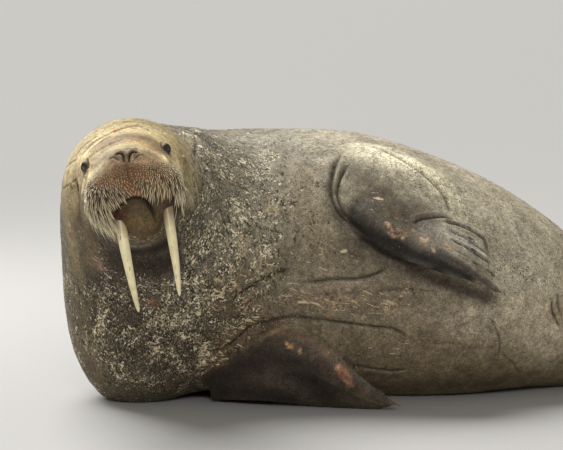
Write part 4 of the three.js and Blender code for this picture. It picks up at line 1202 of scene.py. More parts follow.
@dataclass
class Paint:
    """The colours and marks of the hide, kept on its points.

    Each pair of lengths says where something starts and where it is whole, in mm.

    Attributes:
        clay: the hide.
        painted_shade: how dark the shade painted into the folds and the ear holes makes each point.
        underside: the heights for the underside.
        front: the places along the trunk for the front.
        front_tilt: how far its border leans, as a share of the height over front_high.
        hood: the middle of the pale hood, in the head's frame.
        hood_reach: the distances from it.
        hood_rise: the heights in the head's frame for the hood.
        flippers: the distances from the flippers.
        arms: the distances from a fore flipper, for its own stains and painted shade.
        calm: the distances from the eyes' middle for the smoother hide of the head.
    """

    clay: Clay
    painted_shade: Array
    underside: Pair = (420, 120)
    front: Pair = (330, -230)
    front_tilt: float = 0.35
    front_high: float = 400
    hood: Point = (0, 40, -40)
    hood_reach: Pair = (430, 220)
    hood_rise: Pair = (-150, -40)
    flippers: Pair = (22, 10)
    arms: Pair = (42, 14)
    calm: Pair = (300, 240)

    def apply(self) -> None:
        """Writes the colour, the marks and the relief of each point."""
        points = self.clay.points
        place = (points - np.array(POSE_ORIGIN)) / MM
        local = HEAD.local_mm(points)
        x, y, z = place.T
        count = len(points)
        wave = 45 * np.sin(y / 90) + 35 * np.sin(z / 70 + x / 110)
        front = smoothstep(*self.front, x + self.front_tilt * (z - self.front_high) + wave)
        from_brow = row_lengths(local - self.hood) + 0.5 * wave
        hood = smoothstep(*self.hood_reach, from_brow) * smoothstep(*self.hood_rise, local[:, 1])
        hands = smoothstep(*self.flippers, distances(FLIPPERS, points))
        tone = np.tile(linear(FLANK.colour)[:3], (count, 1)).astype(float)
        marks = np.tile(FLANK.marks, (count, 1)).astype(float)
        relief = np.tile((1.0, 0.0, 0.0), (count, 1)).astype(float)
        self.blend(tone, UNDERSIDE, smoothstep(*self.underside, z))
        for ground, share, cover in ((FRONT, front, 1), (FLIPPER, hands, 0.8), (HOOD, hood, 1)):
            self.blend(tone, ground.colour, share * cover)
            self.blend(marks, ground.marks, share)
        tree = self.clay.bvh()
        arm, low_arm = (smoothstep(*self.arms, distances((name,), points)) for name in FLIPPERS[:2])
        for stains, cover in ((BODY_STAINS_AND_HIGHLIGHTS, 1), (SHADE_STAINS, 1 - arm), (ARM_STAINS_AND_SHADE, arm),
                              (LOW_ARM_STAINS_AND_SHADE, low_arm), (FACE_STAINS_AND_SHADE, 1)):
            for stain in stains:
                share = stain.shares(tree, points) * cover
                if stain.colour:
                    self.blend(tone, stain.colour, share)
                if stain.marks:
                    self.blend(marks, stain.marks, share)
        for side in Side:
            ring, depth = Eye(side).rings(points)
            ahead = depth > 0
            # the lids are a darker brown; the extra dark at the furrow round them is painted shade
            lids = (smoothstep(3.4, 2.2, ring) * 0.55 + bell(ring, FURROW_AT, 0.3) * 0.4) * ahead
            self.blend(tone, LIDS, lids)
            self.blend(tone, EYE_RIM, smoothstep(1.9, 1.15, ring) * ahead * 0.95)
            relief[:, 1] = np.maximum(relief[:, 1], smoothstep(1.2, 1.0, ring) * ahead)
        relief[:, 0] *= 1 - 0.75 * smoothstep(*self.calm, row_lengths(local))
        # painted shade: the folds and the ear holes darkened where shade falls in them
        self.blend(tone, FOLD_SHADE, self.painted_shade * 0.95)
        for name, values in (("tone", tone), ("marks", marks), ("relief", relief)):
            layer = self.clay.obj.data.color_attributes.new(name, "FLOAT_COLOR", "POINT")
            full = np.ones((count, 4), dtype=np.float32)
            full[:, :3] = values
            layer.data.foreach_set("color", full.ravel())

    @staticmethod
    def blend(values: Array, new: str | Sequence[float], share: Array) -> None:
        """Mixes three new numbers, or a hex colour, into those of each point, by its share."""
        target = linear(new)[:3] if isinstance(new, str) else new
        values += (np.array(target) - values) * np.clip(share, 0, 1)[:, None]


# Finishes


def add_node(tree: Nodes, kind: str, inputs: dict[str | int, object] | None = None,
             **settings: object) -> bpy.types.Node:
    """Adds a shader node.

    Args:
        tree: the material's nodes.
        kind: the node's type, without the word Shader in front of it.
        inputs: a value or another node's output, for inputs by name or number.
        settings: the node's own settings.

    Returns:
        The node.
    """
    node = tree.nodes.new(f"ShaderNode{kind}")
    for name, value in settings.items():
        setattr(node, name, value)
    for name, value in (inputs or {}).items():
        if isinstance(value, Socket):
            tree.links.new(value, node.inputs[name])
        else:
            node.inputs[name].default_value = value
    return node


def per_metre(mm: float) -> float:
    """The scale of a pattern whose cells are so many mm wide."""
    return 1000 / mm


def new_material(name: str) -> tuple[bpy.types.Material, Nodes]:
    """An empty material and its nodes."""
    material = bpy.data.materials.new(name)
    material.use_nodes = True
    material.node_tree.nodes.clear()
    return material, material.node_tree


def surface(tree: Nodes, inputs: dict[str, object]) -> None:
    """Ends a material's nodes with one surface."""
    shader = add_node(tree, "BsdfPrincipled", inputs)
    add_node(tree, "OutputMaterial", {"Surface": shader.outputs[0]})


def place_on(tree: Nodes) -> Socket:
    """The place on the object."""
    return add_node(tree, "TexCoord").outputs["Object"]


def kept(tree: Nodes, name: str, output: str = "Fac") -> Socket:
    """A value or colour that is kept on the points of a mesh."""
    return add_node(tree, "Attribute", attribute_name=name).outputs[output]


def noise(tree: Nodes, where: Socket, size: float, detail: float = 3, roughness: float = 0.6,
          distortion: float = 0) -> Socket:
    """Noise whose cells are so many mm wide."""
    return add_node(tree, "TexNoise", {"Vector": where, "Scale": per_metre(size), "Detail": detail,
                                       "Roughness": roughness, "Distortion": distortion}).outputs[0]


def ramp(tree: Nodes, value: Socket, low: float, high: float, to_low: float = 0, to_high: float = 1,
         **settings: object) -> Socket:
    """A value that runs from to_low to to_high while another runs from low to high."""
    inputs = {"Value": value, "From Min": low, "From Max": high, "To Min": to_low, "To Max": to_high}
    return add_node(tree, "MapRange", inputs, **settings).outputs[0]


def worked_out(tree: Nodes, operation: str, *values: object) -> Socket:
    """The result of a sum, product or the like of values."""
    return add_node(tree, "Math", dict(enumerate(values)), operation=operation).outputs[0]


def mixed(tree: Nodes, share: Socket, under: Socket | str, over: Socket | str) -> Socket:
    """A colour between two, each given by its hex value or by a node's output."""
    under, over = (linear(colour) if isinstance(colour, str) else colour for colour in (under, over))
    return add_node(tree, "Mix", {0: share, 6: under, 7: over}, data_type="RGBA").outputs[2]


@dataclass(frozen=True)
class Speckle:
    """One kind of mark scattered over the hide.

    Attributes:
        colour: its colour.
        size: how wide the marks are, in mm.
        stretch: how much longer than wide they are, along x, y and z.
        turn: how far they are turned about y, in degrees.
        threshold: how rare they are: the noise above which a mark starts.
        edge: how soft their edge is, in the same noise.
        channel: which of the marks on the points says where they are: 0, 1 or 2.
        strength: how much they cover.
        gain: how much more noise there is where they are wanted.
    """

    colour: str
    size: float
    stretch: Point = (1, 1, 1)
    turn: float = 0
    threshold: float = 0.62
    edge: float = 0.05
    channel: int = 0
    strength: float = 1
    gain: float = 0.22

    def over(self, tree: Nodes, base: Socket, marks: bpy.types.Node, where: Socket,
             crowd: Socket) -> Socket:
        """Lays the marks over a colour.

        Args:
            tree: the material's nodes.
            base: the colour under them.
            marks: the node that gives the shares of marks, split in three.
            where: the place on the object.
            crowd: how crowded the marks are there.

        Returns:
            The colour with the marks on it.
        """
        scale = tuple(1 / s for s in self.stretch)
        turned = add_node(tree, "Mapping", {"Vector": where, "Rotation": (0, math.radians(self.turn), 0)})
        mapped = add_node(tree, "Mapping", {"Vector": turned.outputs[0], "Scale": scale})
        grain = noise(tree, mapped.outputs[0], self.size * 2, 2.5, 0.6, 0.4)
        rarer = worked_out(tree, "MULTIPLY_ADD", marks.outputs[self.channel], self.gain, -self.gain)
        level = worked_out(tree, "ADD", grain, worked_out(tree, "ADD", rarer, crowd))
        share = ramp(tree, level, self.threshold, self.threshold + self.edge, 0, self.strength,
                     interpolation_type="SMOOTHSTEP")
        return mixed(tree, share, base, self.colour)


@dataclass(frozen=True)
class HideFinish:
    """Thick wrinkled walrus hide with short flat hair: dull, with a faint pale sheen on the hair.

    Attributes:
        clouds: light and dark patches: how wide they are, in mm, how dark and how light.
        patches: how wide the crowds of speckles are, in mm.
        crowding: the noise that the sparsest and the densest crowd add to the speckles.
        speckles: the marks, from the lowest up.
        wet: how much less rough the wet hide at the eyes is.
    """

    clouds: tuple[Point, ...] = ((170, 0.8, 1.2), (40, 0.72, 1.3), (12, 0.7, 1.34), (3.6, 0.5, 1.6))
    patches: float = 70
    crowding: Pair = (-0.06, 0.055)
    speckles: tuple[Speckle, ...] = (
        Speckle("2b251e", 8, (1, 1, 1.6), 20, 0.50, 0.12, 0, 0.75),
        Speckle("1d1813", 4, (1, 1, 1.3), 0, 0.56, 0.05, 0, 0.75),
        Speckle("a89a7a", 2.4, (1, 1, 1.8), 12, 0.52, 0.09, 0, 0.7),
        Speckle("efe6cf", 3.2, (1, 1, 1.3), 0, 0.632, 0.03, 0, 0.95),
        Speckle("d6c8a4", 3.4, (1, 1, 16), 44, 0.662, 0.03, 0, 0.8),
        Speckle("d6c8a4", 3.2, (1, 1, 13), -50, 0.675, 0.03, 0, 0.75),
        Speckle("e3d7b8", 4.6, (1, 1, 2.6), -32, 0.628, 0.03, 0, 0.92),
        Speckle("eadfc4", 5.2, (1, 1, 2.6), 48, 0.642, 0.03, 0, 0.92),
        Speckle("dcc4a0", 10, (1, 1, 1.7), 75, 0.672, 0.03, 0, 0.9),
        Speckle("d3bb95", 4.6, (1, 1, 7), 66, 0.605, 0.04, 2, 0.8),
        Speckle("c39c7c", 5.2, (1, 1, 6), -40, 0.63, 0.04, 2, 0.75),
        Speckle("dccba6", 4.2, (1, 1, 6), 88, 0.62, 0.04, 2, 0.8),
        Speckle("332b21", 3, (1, 1, 1), 0, 0.56, 0.05, 1, 0.85),
        Speckle("4a4032", 2.8, (1, 1, 6), 72, 0.60, 0.05, 1, 0.6),
    )
    wet: float = 0.4

    def colour(self, tree: Nodes, where: Socket) -> Socket:
        """The tone kept on the points, clouded, with the speckles on it."""
        light: Socket | float = 1.0
        for size, low, high in self.clouds:
            cloud = ramp(tree, noise(tree, where, size), 0.3, 0.7, low, high)
            light = worked_out(tree, "MULTIPLY", light, cloud)
        tone = kept(tree, "tone", "Color")
        colour = add_node(tree, "VectorMath", {0: tone, "Scale": light}, operation="SCALE").outputs[0]
        marks = add_node(tree, "SeparateColor", {0: kept(tree, "marks", "Color")})
        crowd = ramp(tree, noise(tree, where, self.patches, 2), 0.3, 0.7, *self.crowding)
        for speckle in self.speckles:
            colour = speckle.over(tree, colour, marks, where, crowd)
        return colour

    def material(self) -> bpy.types.Material:
        """Makes the material."""
        material, tree = new_material("walrus_hide")
        where = place_on(tree)
        relief = add_node(tree, "SeparateColor", {0: kept(tree, "relief", "Color")})
        round_body = add_node(tree, "Mapping", {"Vector": where, "Rotation": (0, math.radians(16), 0),
                                                "Scale": (1, 0.5, 0.22)})
        wrinkles = noise(tree, round_body.outputs[0], 30, 2, 0.5, 0.5)
        lumps = noise(tree, where, 26)
        hair = noise(tree, where, 4, 3, 0.7)
        dry = worked_out(tree, "MULTIPLY_ADD", relief.outputs[1], -self.wet, 1.0)
        rough = worked_out(tree, "MULTIPLY", ramp(tree, hair, 0.3, 0.7, 0.55, 0.8), dry)
        bumps: dict[str, Socket] = {}
        folded = relief.outputs[0]
        for height, strength, high in ((wrinkles, folded, 3.2), (lumps, 0.5, 3.5), (hair, 0.75, 2.2)):
            inputs = {"Strength": strength, "Distance": high * MM, "Height": height, **bumps}
            bump = add_node(tree, "Bump", inputs)
            bumps = {"Normal": bump.outputs[0]}
        surface(tree, {
            "Base Color": self.colour(tree, where), "Roughness": rough, "IOR": 1.45,
            "Specular IOR Level": 0.3, "Sheen Weight": 0.1, "Sheen Roughness": 0.4,
            "Sheen Tint": linear("e6dcc0"), **bumps,
        })
        return material


@dataclass(frozen=True)
class EyeFinish:
    """A living eye: a clear wet cornea over a dark brown iris and a wide pupil."""

    white: str = "3a2f28"
    iris: str = "2a1a10"
    pupil: str = "050404"
    iris_edge: Pair = (0.74, 0.78)  # how far towards the pole it starts, and is whole
    pupil_edge: Pair = (0.90, 0.93)

    def material(self) -> bpy.types.Material:
        """Makes the material."""
        material, tree = new_material("wet_dark_eye")
        facing = kept(tree, "facing")
        ball = mixed(tree, ramp(tree, facing, *self.iris_edge), self.white, self.iris)
        colour = mixed(tree, ramp(tree, facing, *self.pupil_edge), ball, self.pupil)
        surface(tree, {"Base Color": colour, "Roughness": 0.08, "IOR": 1.38, "Coat Weight": 1.0,
                       "Coat Roughness": 0.02})
        return material


@dataclass(frozen=True)
class IvoryFinish:
    """Tusk ivory: cream, half polished, with fine lengthwise cracks and brown stain by the lip."""

    cream: str = "f0e4b8"
    shade: str = "b79d62"
    stain: str = "6b4f2a"
    crack: str = "7a6138"
    stained: Pair = (0.34, 0.12)  # how far along the tusk the stain ends, and is whole

    def material(self) -> bpy.types.Material:
        """Makes the material."""
        material, tree = new_material("walrus_ivory")
        place = add_node(tree, "UVMap", uv_map="round_and_along").outputs[0]
        along = add_node(tree, "SeparateXYZ", {0: place}).outputs[1]
        where = place_on(tree)
        streaks = add_node(tree, "Mapping", {"Vector": where, "Scale": (1, 1, 0.06)})
        streaks = noise(tree, streaks.outputs[0], 7, 4, 0.65)
        shaded = ramp(tree, noise(tree, where, 30, 4), 0.45, 0.75, 0, 0.6)
        colour = mixed(tree, shaded, self.cream, self.shade)
        colour = mixed(tree, ramp(tree, streaks, 0.63, 0.68), colour, self.crack)
        colour = mixed(tree, ramp(tree, along, *self.stained, 0, 0.8), colour, self.stain)
        dent = add_node(tree, "Bump", {"Strength": 0.5, "Distance": 0.8 * MM, "Height": streaks})
        surface(tree, {"Base Color": colour, "Roughness": 0.36, "IOR": 1.54, "Normal": dent.outputs[0],
                       "Subsurface Weight": 0.05, "Subsurface Scale": 0.004})
        return material


@dataclass(frozen=True)
class BristleFinish:
    """Whiskers: stiff keratin bristles, cream and half clear, darker at the root."""

    root: str = "5c4026"
    tip: str = "e2d6b0"

    def material(self) -> bpy.types.Material:
        """Makes the material."""
        material, tree = new_material("keratin_bristle")
        colour = mixed(tree, ramp(tree, kept(tree, "along"), 0.15, 0.7), self.root, self.tip)
        surface(tree, {"Base Color": colour, "Roughness": 0.38, "IOR": 1.55})
        return material


@dataclass(frozen=True)
class ClawFinish:
    """A claw: dark brown horn, worn half smooth, paler towards its tip."""

    root: str = "2e241b"
    tip: str = "7d6a4e"

    def material(self) -> bpy.types.Material:
        """Makes the material."""
        material, tree = new_material("claw_horn")
        grain = noise(tree, place_on(tree), 3, 3, 0.5)
        pale = ramp(tree, worked_out(tree, "MULTIPLY", grain, kept(tree, "along")), 0.1, 0.5)
        ridges = add_node(tree, "Bump", {"Strength": 0.4, "Distance": 0.5 * MM, "Height": grain})
        surface(tree, {"Base Color": mixed(tree, pale, self.root, self.tip), "Roughness": 0.42, "IOR": 1.54,
                       "Normal": ridges.outputs[0]})
        return material


@dataclass(frozen=True)
class FloorFinish:
    """A plain pale studio floor of painted board."""

    colour: str = "9a9895"

    def material(self) -> bpy.types.Material:
        """Makes the material."""
        material, tree = new_material("painted_board")
        surface(tree, {"Base Color": linear(self.colour), "Roughness": 0.85})
        return material


# Tusks, coat, claws and whiskers


@dataclass(frozen=True)
class Tusk:
    """A tusk: a long oval tooth on a gentle bend, with a worn tip. Places in the head's frame, in mm."""

    side: Side
    root: Point
    bend: Point
    tip: Point
    wide: float = 17.5
    deep: float = 22
    taper: float = 0.52
    blunt: float = 0.1
    rounded: float = 0.018  # the share of its length over which the tip closes
    ripples: Pair = (0.022, 0.012)  # height of its lengthwise ridges, as shares of its width
    rings: int = 64
    sides: int = 28

    def build(self, finish: IvoryFinish) -> Object:
        """Rolls a grid into the tusk, from its root in the jaw to its tip."""
        bpy.ops.object.select_all(action="DESELECT")
        bpy.ops.mesh.primitive_grid_add(x_subdivisions=self.sides, y_subdivisions=self.rings, size=1)
        tusk = bpy.context.object
        tusk.name = f"ivory_tusk_{self.side.name.lower()}"
        tusk.data.uv_layers[0].name = "round_and_along"
        flat = numbers(tusk.data.vertices, "co", 3).astype(float)
        turn, u = flat[:, 0] + 0.5, flat[:, 1] + 0.5
        root, bend, tip = (np.array(HEAD.place(p)) for p in (self.root, self.bend, self.tip))
        t = u[:, None]
        centre = (1 - t) ** 2 * root + 2 * t * (1 - t) * bend + t**2 * tip
        along = (1 - t) * (bend - root) + t * (tip - bend)
        along = unit(along)
        side = np.array(HEAD.side)
        across = side - along * (along @ side)[:, None]
        across = unit(across)
        forward = -np.cross(across, along)
        size = (1 - u) ** self.taper * (1 - self.blunt) + self.blunt
        size *= np.sqrt(np.clip((1.0 - u) / self.rounded, 0, 1))
        angle = turn * 2 * math.pi
        ripple = 1 + self.ripples[0] * np.cos(angle * 3 + 0.7) + self.ripples[1] * np.cos(angle * 5 + u * 9)
        points = centre + across * (np.cos(angle) * self.wide * size * ripple * MM)[:, None]
        points += forward * (np.sin(angle) * self.deep * size * ripple * MM)[:, None]
        tusk.data.vertices.foreach_set("co", points.ravel())
        with editing(tusk):
            bpy.ops.mesh.remove_doubles(threshold=WELD)
            bpy.ops.mesh.select_all(action="SELECT")
            bpy.ops.mesh.fill_holes(sides=0)
        outward_again(tusk)
        smooth(tusk)
        dress(tusk, finish.material())
        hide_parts(f"tusk_{self.side.name.lower()}")
        return tusk


PATCH = 0.003  # how wide a strand's patch is on the flat unwrap, as a share of it
BARE_FLIPPER = 12  # how far round a flipper no hair grows, in mm
BARE_LIDS = 2.2  # the same round an eye, in sizes of its opening
BARE_FLOOR = 0.012  # how high above the floor hair starts
TRUNK_LIE = (1.0, 0.0, -0.25)  # the way that the coat lies on the trunk
HEAD_LIE = (600, 330)  # how near the nose, in mm, the head's own way starts, and is whole


@dataclass
class Strands:
    """Many like strands of one template, bent over the hide and joined. Lengths in metres.

    Attributes:
        name: the piece's name.
        roots: where they start, one in each row.
        ways: the ways that they start.
        bends: how far their tips are bent aside, as shares of their lengths.
        ups: the ways that their flat sides face.
        lengths: how long they are.
        widths: how wide they are at the root.
        flat: how thick they are, as a share of their width.
        taper: how late they grow thin.
        rings: how many steps each has.
        sides: how many sides each has.
    """

    name: str
    roots: Array
    ways: Array
    bends: Array
    ups: Array
    lengths: Array
    widths: Array
    flat: float = 1.0
    taper: float = 1.6
    rings: int = 6
    sides: int = 4

    def template(self) -> tuple[Array, list[tuple[int, ...]]]:
        """Models one strand: a cone cut into rings.

        Returns:
            Its points, straight and one unit wide and long, and its faces.
        """
        bpy.ops.object.select_all(action="DESELECT")
        bpy.ops.mesh.primitive_cone_add(vertices=self.sides, radius1=1, radius2=0, depth=1)
        cone = bpy.context.object
        with editing(cone):
            for ring in range(1, self.rings):
                bpy.ops.mesh.select_all(action="SELECT")
                bpy.ops.mesh.bisect(plane_co=(0, 0, ring / self.rings - 0.5), plane_no=(0, 0, 1))
        shape = numbers(cone.data.vertices, "co", 3).astype(float)
        faces = [tuple(p.vertices) for p in cone.data.polygons]
        bpy.data.objects.remove(cone)
        shape[:, 2] += 0.5
        shape[:, :2] /= np.maximum(1 - shape[:, 2:], 1 / self.rings / 2)
        return shape, faces

    def build(self, unwrap: Unwrap | None = None) -> Object:
        """Sets a copy of the template on each root.

        Args:
            unwrap: gives each strand its patch of the map OFBake, which is left out without it.

        Returns:
            The joined mesh, with the share of the way to the tip as the attribute along.
        """
        shape, faces = self.template()
        u = shape[:, 2]
        count, size = len(self.roots), len(shape)
        t = u[None, :, None]
        lengths = self.lengths[:, None, None]
        ways, bends = self.ways[:, None], self.bends[:, None]
        centre = self.roots[:, None] + ways * lengths * t + bends * lengths * t**2
        along = ways + 2 * t * bends
        along /= np.linalg.norm(along, axis=2)[..., None]
        across = np.cross(along, self.ups[:, None])
        across /= np.maximum(np.linalg.norm(across, axis=2), 1e-6)[..., None]
        other = np.cross(across, along)
        thin = (1 - u**self.taper)[None, :, None] * self.widths[:, None, None] / 2
        points = centre + across * thin * shape[None, :, 0, None]
        points += other * thin * self.flat * shape[None, :, 1, None]
        mesh = bpy.data.meshes.new(self.name)
        all_faces = [tuple(i + n * size for i in face) for n in range(count) for face in faces]
        mesh.from_pydata(points.reshape(-1, 3).tolist(), [], all_faces)
        share = mesh.attributes.new("along", "FLOAT", "POINT")
        share.data.foreach_set("value", np.tile(u, count).astype(np.float32))
        if unwrap:
            square = PATCH / 2 * np.array([[-1, -1], [1, -1], [1, 1], [-1, 1]])
            corners = np.vstack([square[:len(face)] for face in faces])
            layer = mesh.uv_layers.new(name="OFBake")
            spots = unwrap.patches(self.roots)[:, None] + corners[None]
            layer.data.foreach_set("uv", spots.astype(np.float32).ravel())
        piece = bpy.data.objects.new(self.name, mesh)
        bpy.context.collection.objects.link(piece)
        outward_again(piece)
        smooth(piece)
        return piece


@dataclass(frozen=True)
class Coat:
    """Short flat hair: thin tufts over one stretch of the hide, which soften its edge. Lengths in mm.

    Attributes:
        name: the piece's name.
        stretch: how far from the nose it starts and ends.
        count: how many tufts it has.
        long: how long they are.
        wide: how wide they are.
        lift: how far they stand off, as a share of their length.
        seed: starts its random draws.
        ruffle: how far they turn from the way that the coat lies.
        curl: how much of their lift their tips lose.
        sunk: how deep their roots are in the hide.
    """

    name: str
    stretch: Pair
    count: int = 19000
    long: float = 13
    wide: float = 1.7
    lift: float = 0.3
    seed: int = 3
    ruffle: float = 0.22
    curl: float = 0.55
    sunk: float = 0.6

    def build(self, skin: Object, unwrap: Unwrap) -> Object:
        """Sets the tufts on the hide, in its own material and with its markings."""
        rng = np.random.default_rng(self.seed)
        mesh = skin.data
        mesh.calc_loop_triangles()
        triangles = numbers(mesh.loop_triangles, "vertices", 3, np.int32)
        clay = Clay(skin)
        nose = np.array(HEAD.place((0, -40, 200)))
        corner = clay.points[triangles]
        middle = corner.mean(axis=1)
        from_nose = row_lengths(middle - nose) / MM
        area = row_lengths(np.cross(corner[:, 1] - corner[:, 0], corner[:, 2] - corner[:, 0]))
        area *= (from_nose >= self.stretch[0]) & (from_nose < self.stretch[1]) & self.hairy(middle)
        chosen = rng.choice(len(triangles), self.count, p=area / area.sum())
        weights = rng.dirichlet((1, 1, 1), self.count)
        roots = (corner[chosen] * weights[:, :, None]).sum(axis=1)
        normals = (clay.normals[triangles[chosen]] * weights[:, :, None]).sum(axis=1)
        normals = unit(normals)
        lie = self.lie(roots, nose) + rng.normal(0, self.ruffle, (self.count, 3))
        lie -= normals * (lie * normals).sum(axis=1)[:, None]
        lie = unit(lie)
        lengths = self.long * rng.uniform(0.6, 1.2, self.count) * MM
        ways = lie + normals * (self.lift * rng.uniform(0.5, 1.3, self.count))[:, None]
        piece = Strands(
            self.name, roots - normals * self.sunk * MM, ways, normals * -self.lift * self.curl, normals,
            lengths, self.wide * rng.uniform(0.7, 1.2, self.count) * MM, flat=0.35, rings=2, sides=3,
        ).build(unwrap)
        nearest = triangles[chosen, weights.argmax(axis=1)]
        points_each = len(piece.data.vertices) // self.count
        for name in ("tone", "marks", "relief"):
            values = numbers(mesh.color_attributes[name].data, "color", 4)
            layer = piece.data.color_attributes.new(name, "FLOAT_COLOR", "POINT")
            layer.data.foreach_set("color", np.repeat(values[nearest], points_each, axis=0).ravel())
        dress(piece, skin.data.materials[0])
        return piece

    @staticmethod
    def lie(points: Array, nose: Array) -> Array:
        """The way the coat lies: away from the nose on the head, then along the trunk and a little down."""
        away = points - nose
        distance = row_lengths(away)
        on_head = smoothstep(*HEAD_LIE, distance / MM)[:, None]
        return away / distance[:, None] * on_head + np.array(TRUNK_LIE) * (1 - on_head)

    @staticmethod
    def hairy(points: Array) -> Array:
        """Whether hair grows at places: not on flippers, eyes, nose, pads or lips, nor at the floor."""
        local = HEAD.local_mm(points)
        bare = BARE_PADS.holds(local) | BARE_NOSE.holds(local)
        bare |= distances(FLIPPERS, points) < BARE_FLIPPER
        for side in Side:
            ring, depth = Eye(side).rings(points)
            bare |= (ring < BARE_LIDS) & (depth > 0)
        return ~bare & (points[:, 2] > BARE_FLOOR)


@dataclass(frozen=True)
class Claws:
    """The five small claws of a flipper, on the back of its digits. Places are on the body, in mm.

    Attributes:
        node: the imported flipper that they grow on.
        palm: the two ends of the line that their roots are on, from the trailing edge to the leading one.
        tips: the two ends of the line that the digits' tips are on.
        back: the way that the flipper's back faces.
        lengths: how long each is.
        wide: how wide they are.
        over: how far above that line the hide is looked for.
        sunk: how deep their roots are in the hide.
        behind: how far their roots lie behind that line.
        hidden: how much longer they are than what shows.
        rise: how steeply they leave the hide, as a share of their length.
        hook: how far their tips bend back to it, as a share of their length.
    """

    node: str
    palm: tuple[Point, Point]
    tips: tuple[Point, Point]
    back: Point
    lengths: tuple[float, ...]
    wide: float = 8
    over: float = 25
    sunk: float = 3
    behind: float = 5
    hidden: float = 1.3
    rise: float = 0.42
    hook: float = 0.2

    def build(self, tree: BVHTree, finish: "ClawFinish") -> Object:
        """Sets the claws on the hide over the flipper."""
        above = Vector(self.back).normalized() * self.over * MM
        lines = [[POSE_ORIGIN + Vector(point) * MM for point in line] for line in (self.palm, self.tips)]
        roots, ways, bends, ups = [], [], [], []
        for share in np.linspace(0.08, 0.92, len(self.lengths)):
            start, end = (low.lerp(high, share) for low, high in lines)
            root, normal, _, _ = tree.find_nearest(start + above)
            way = end - start
            way = (way - normal * way.dot(normal)).normalized()
            roots.append(root - normal * self.sunk * MM - way * self.behind * MM)
            ways.append(way + normal * self.rise)
            bends.append(normal * -self.hook)
            ups.append(normal)
        lengths = np.array(self.lengths) * self.hidden * MM
        piece = Strands(
            self.node.replace("flipper", "claws"), np.array(roots), np.array(ways), np.array(bends),
            np.array(ups), lengths, np.full(len(roots), self.wide * MM), flat=0.8, taper=1.9, rings=10,
            sides=12,
        ).build()
        dress(piece, finish.material())
        return piece


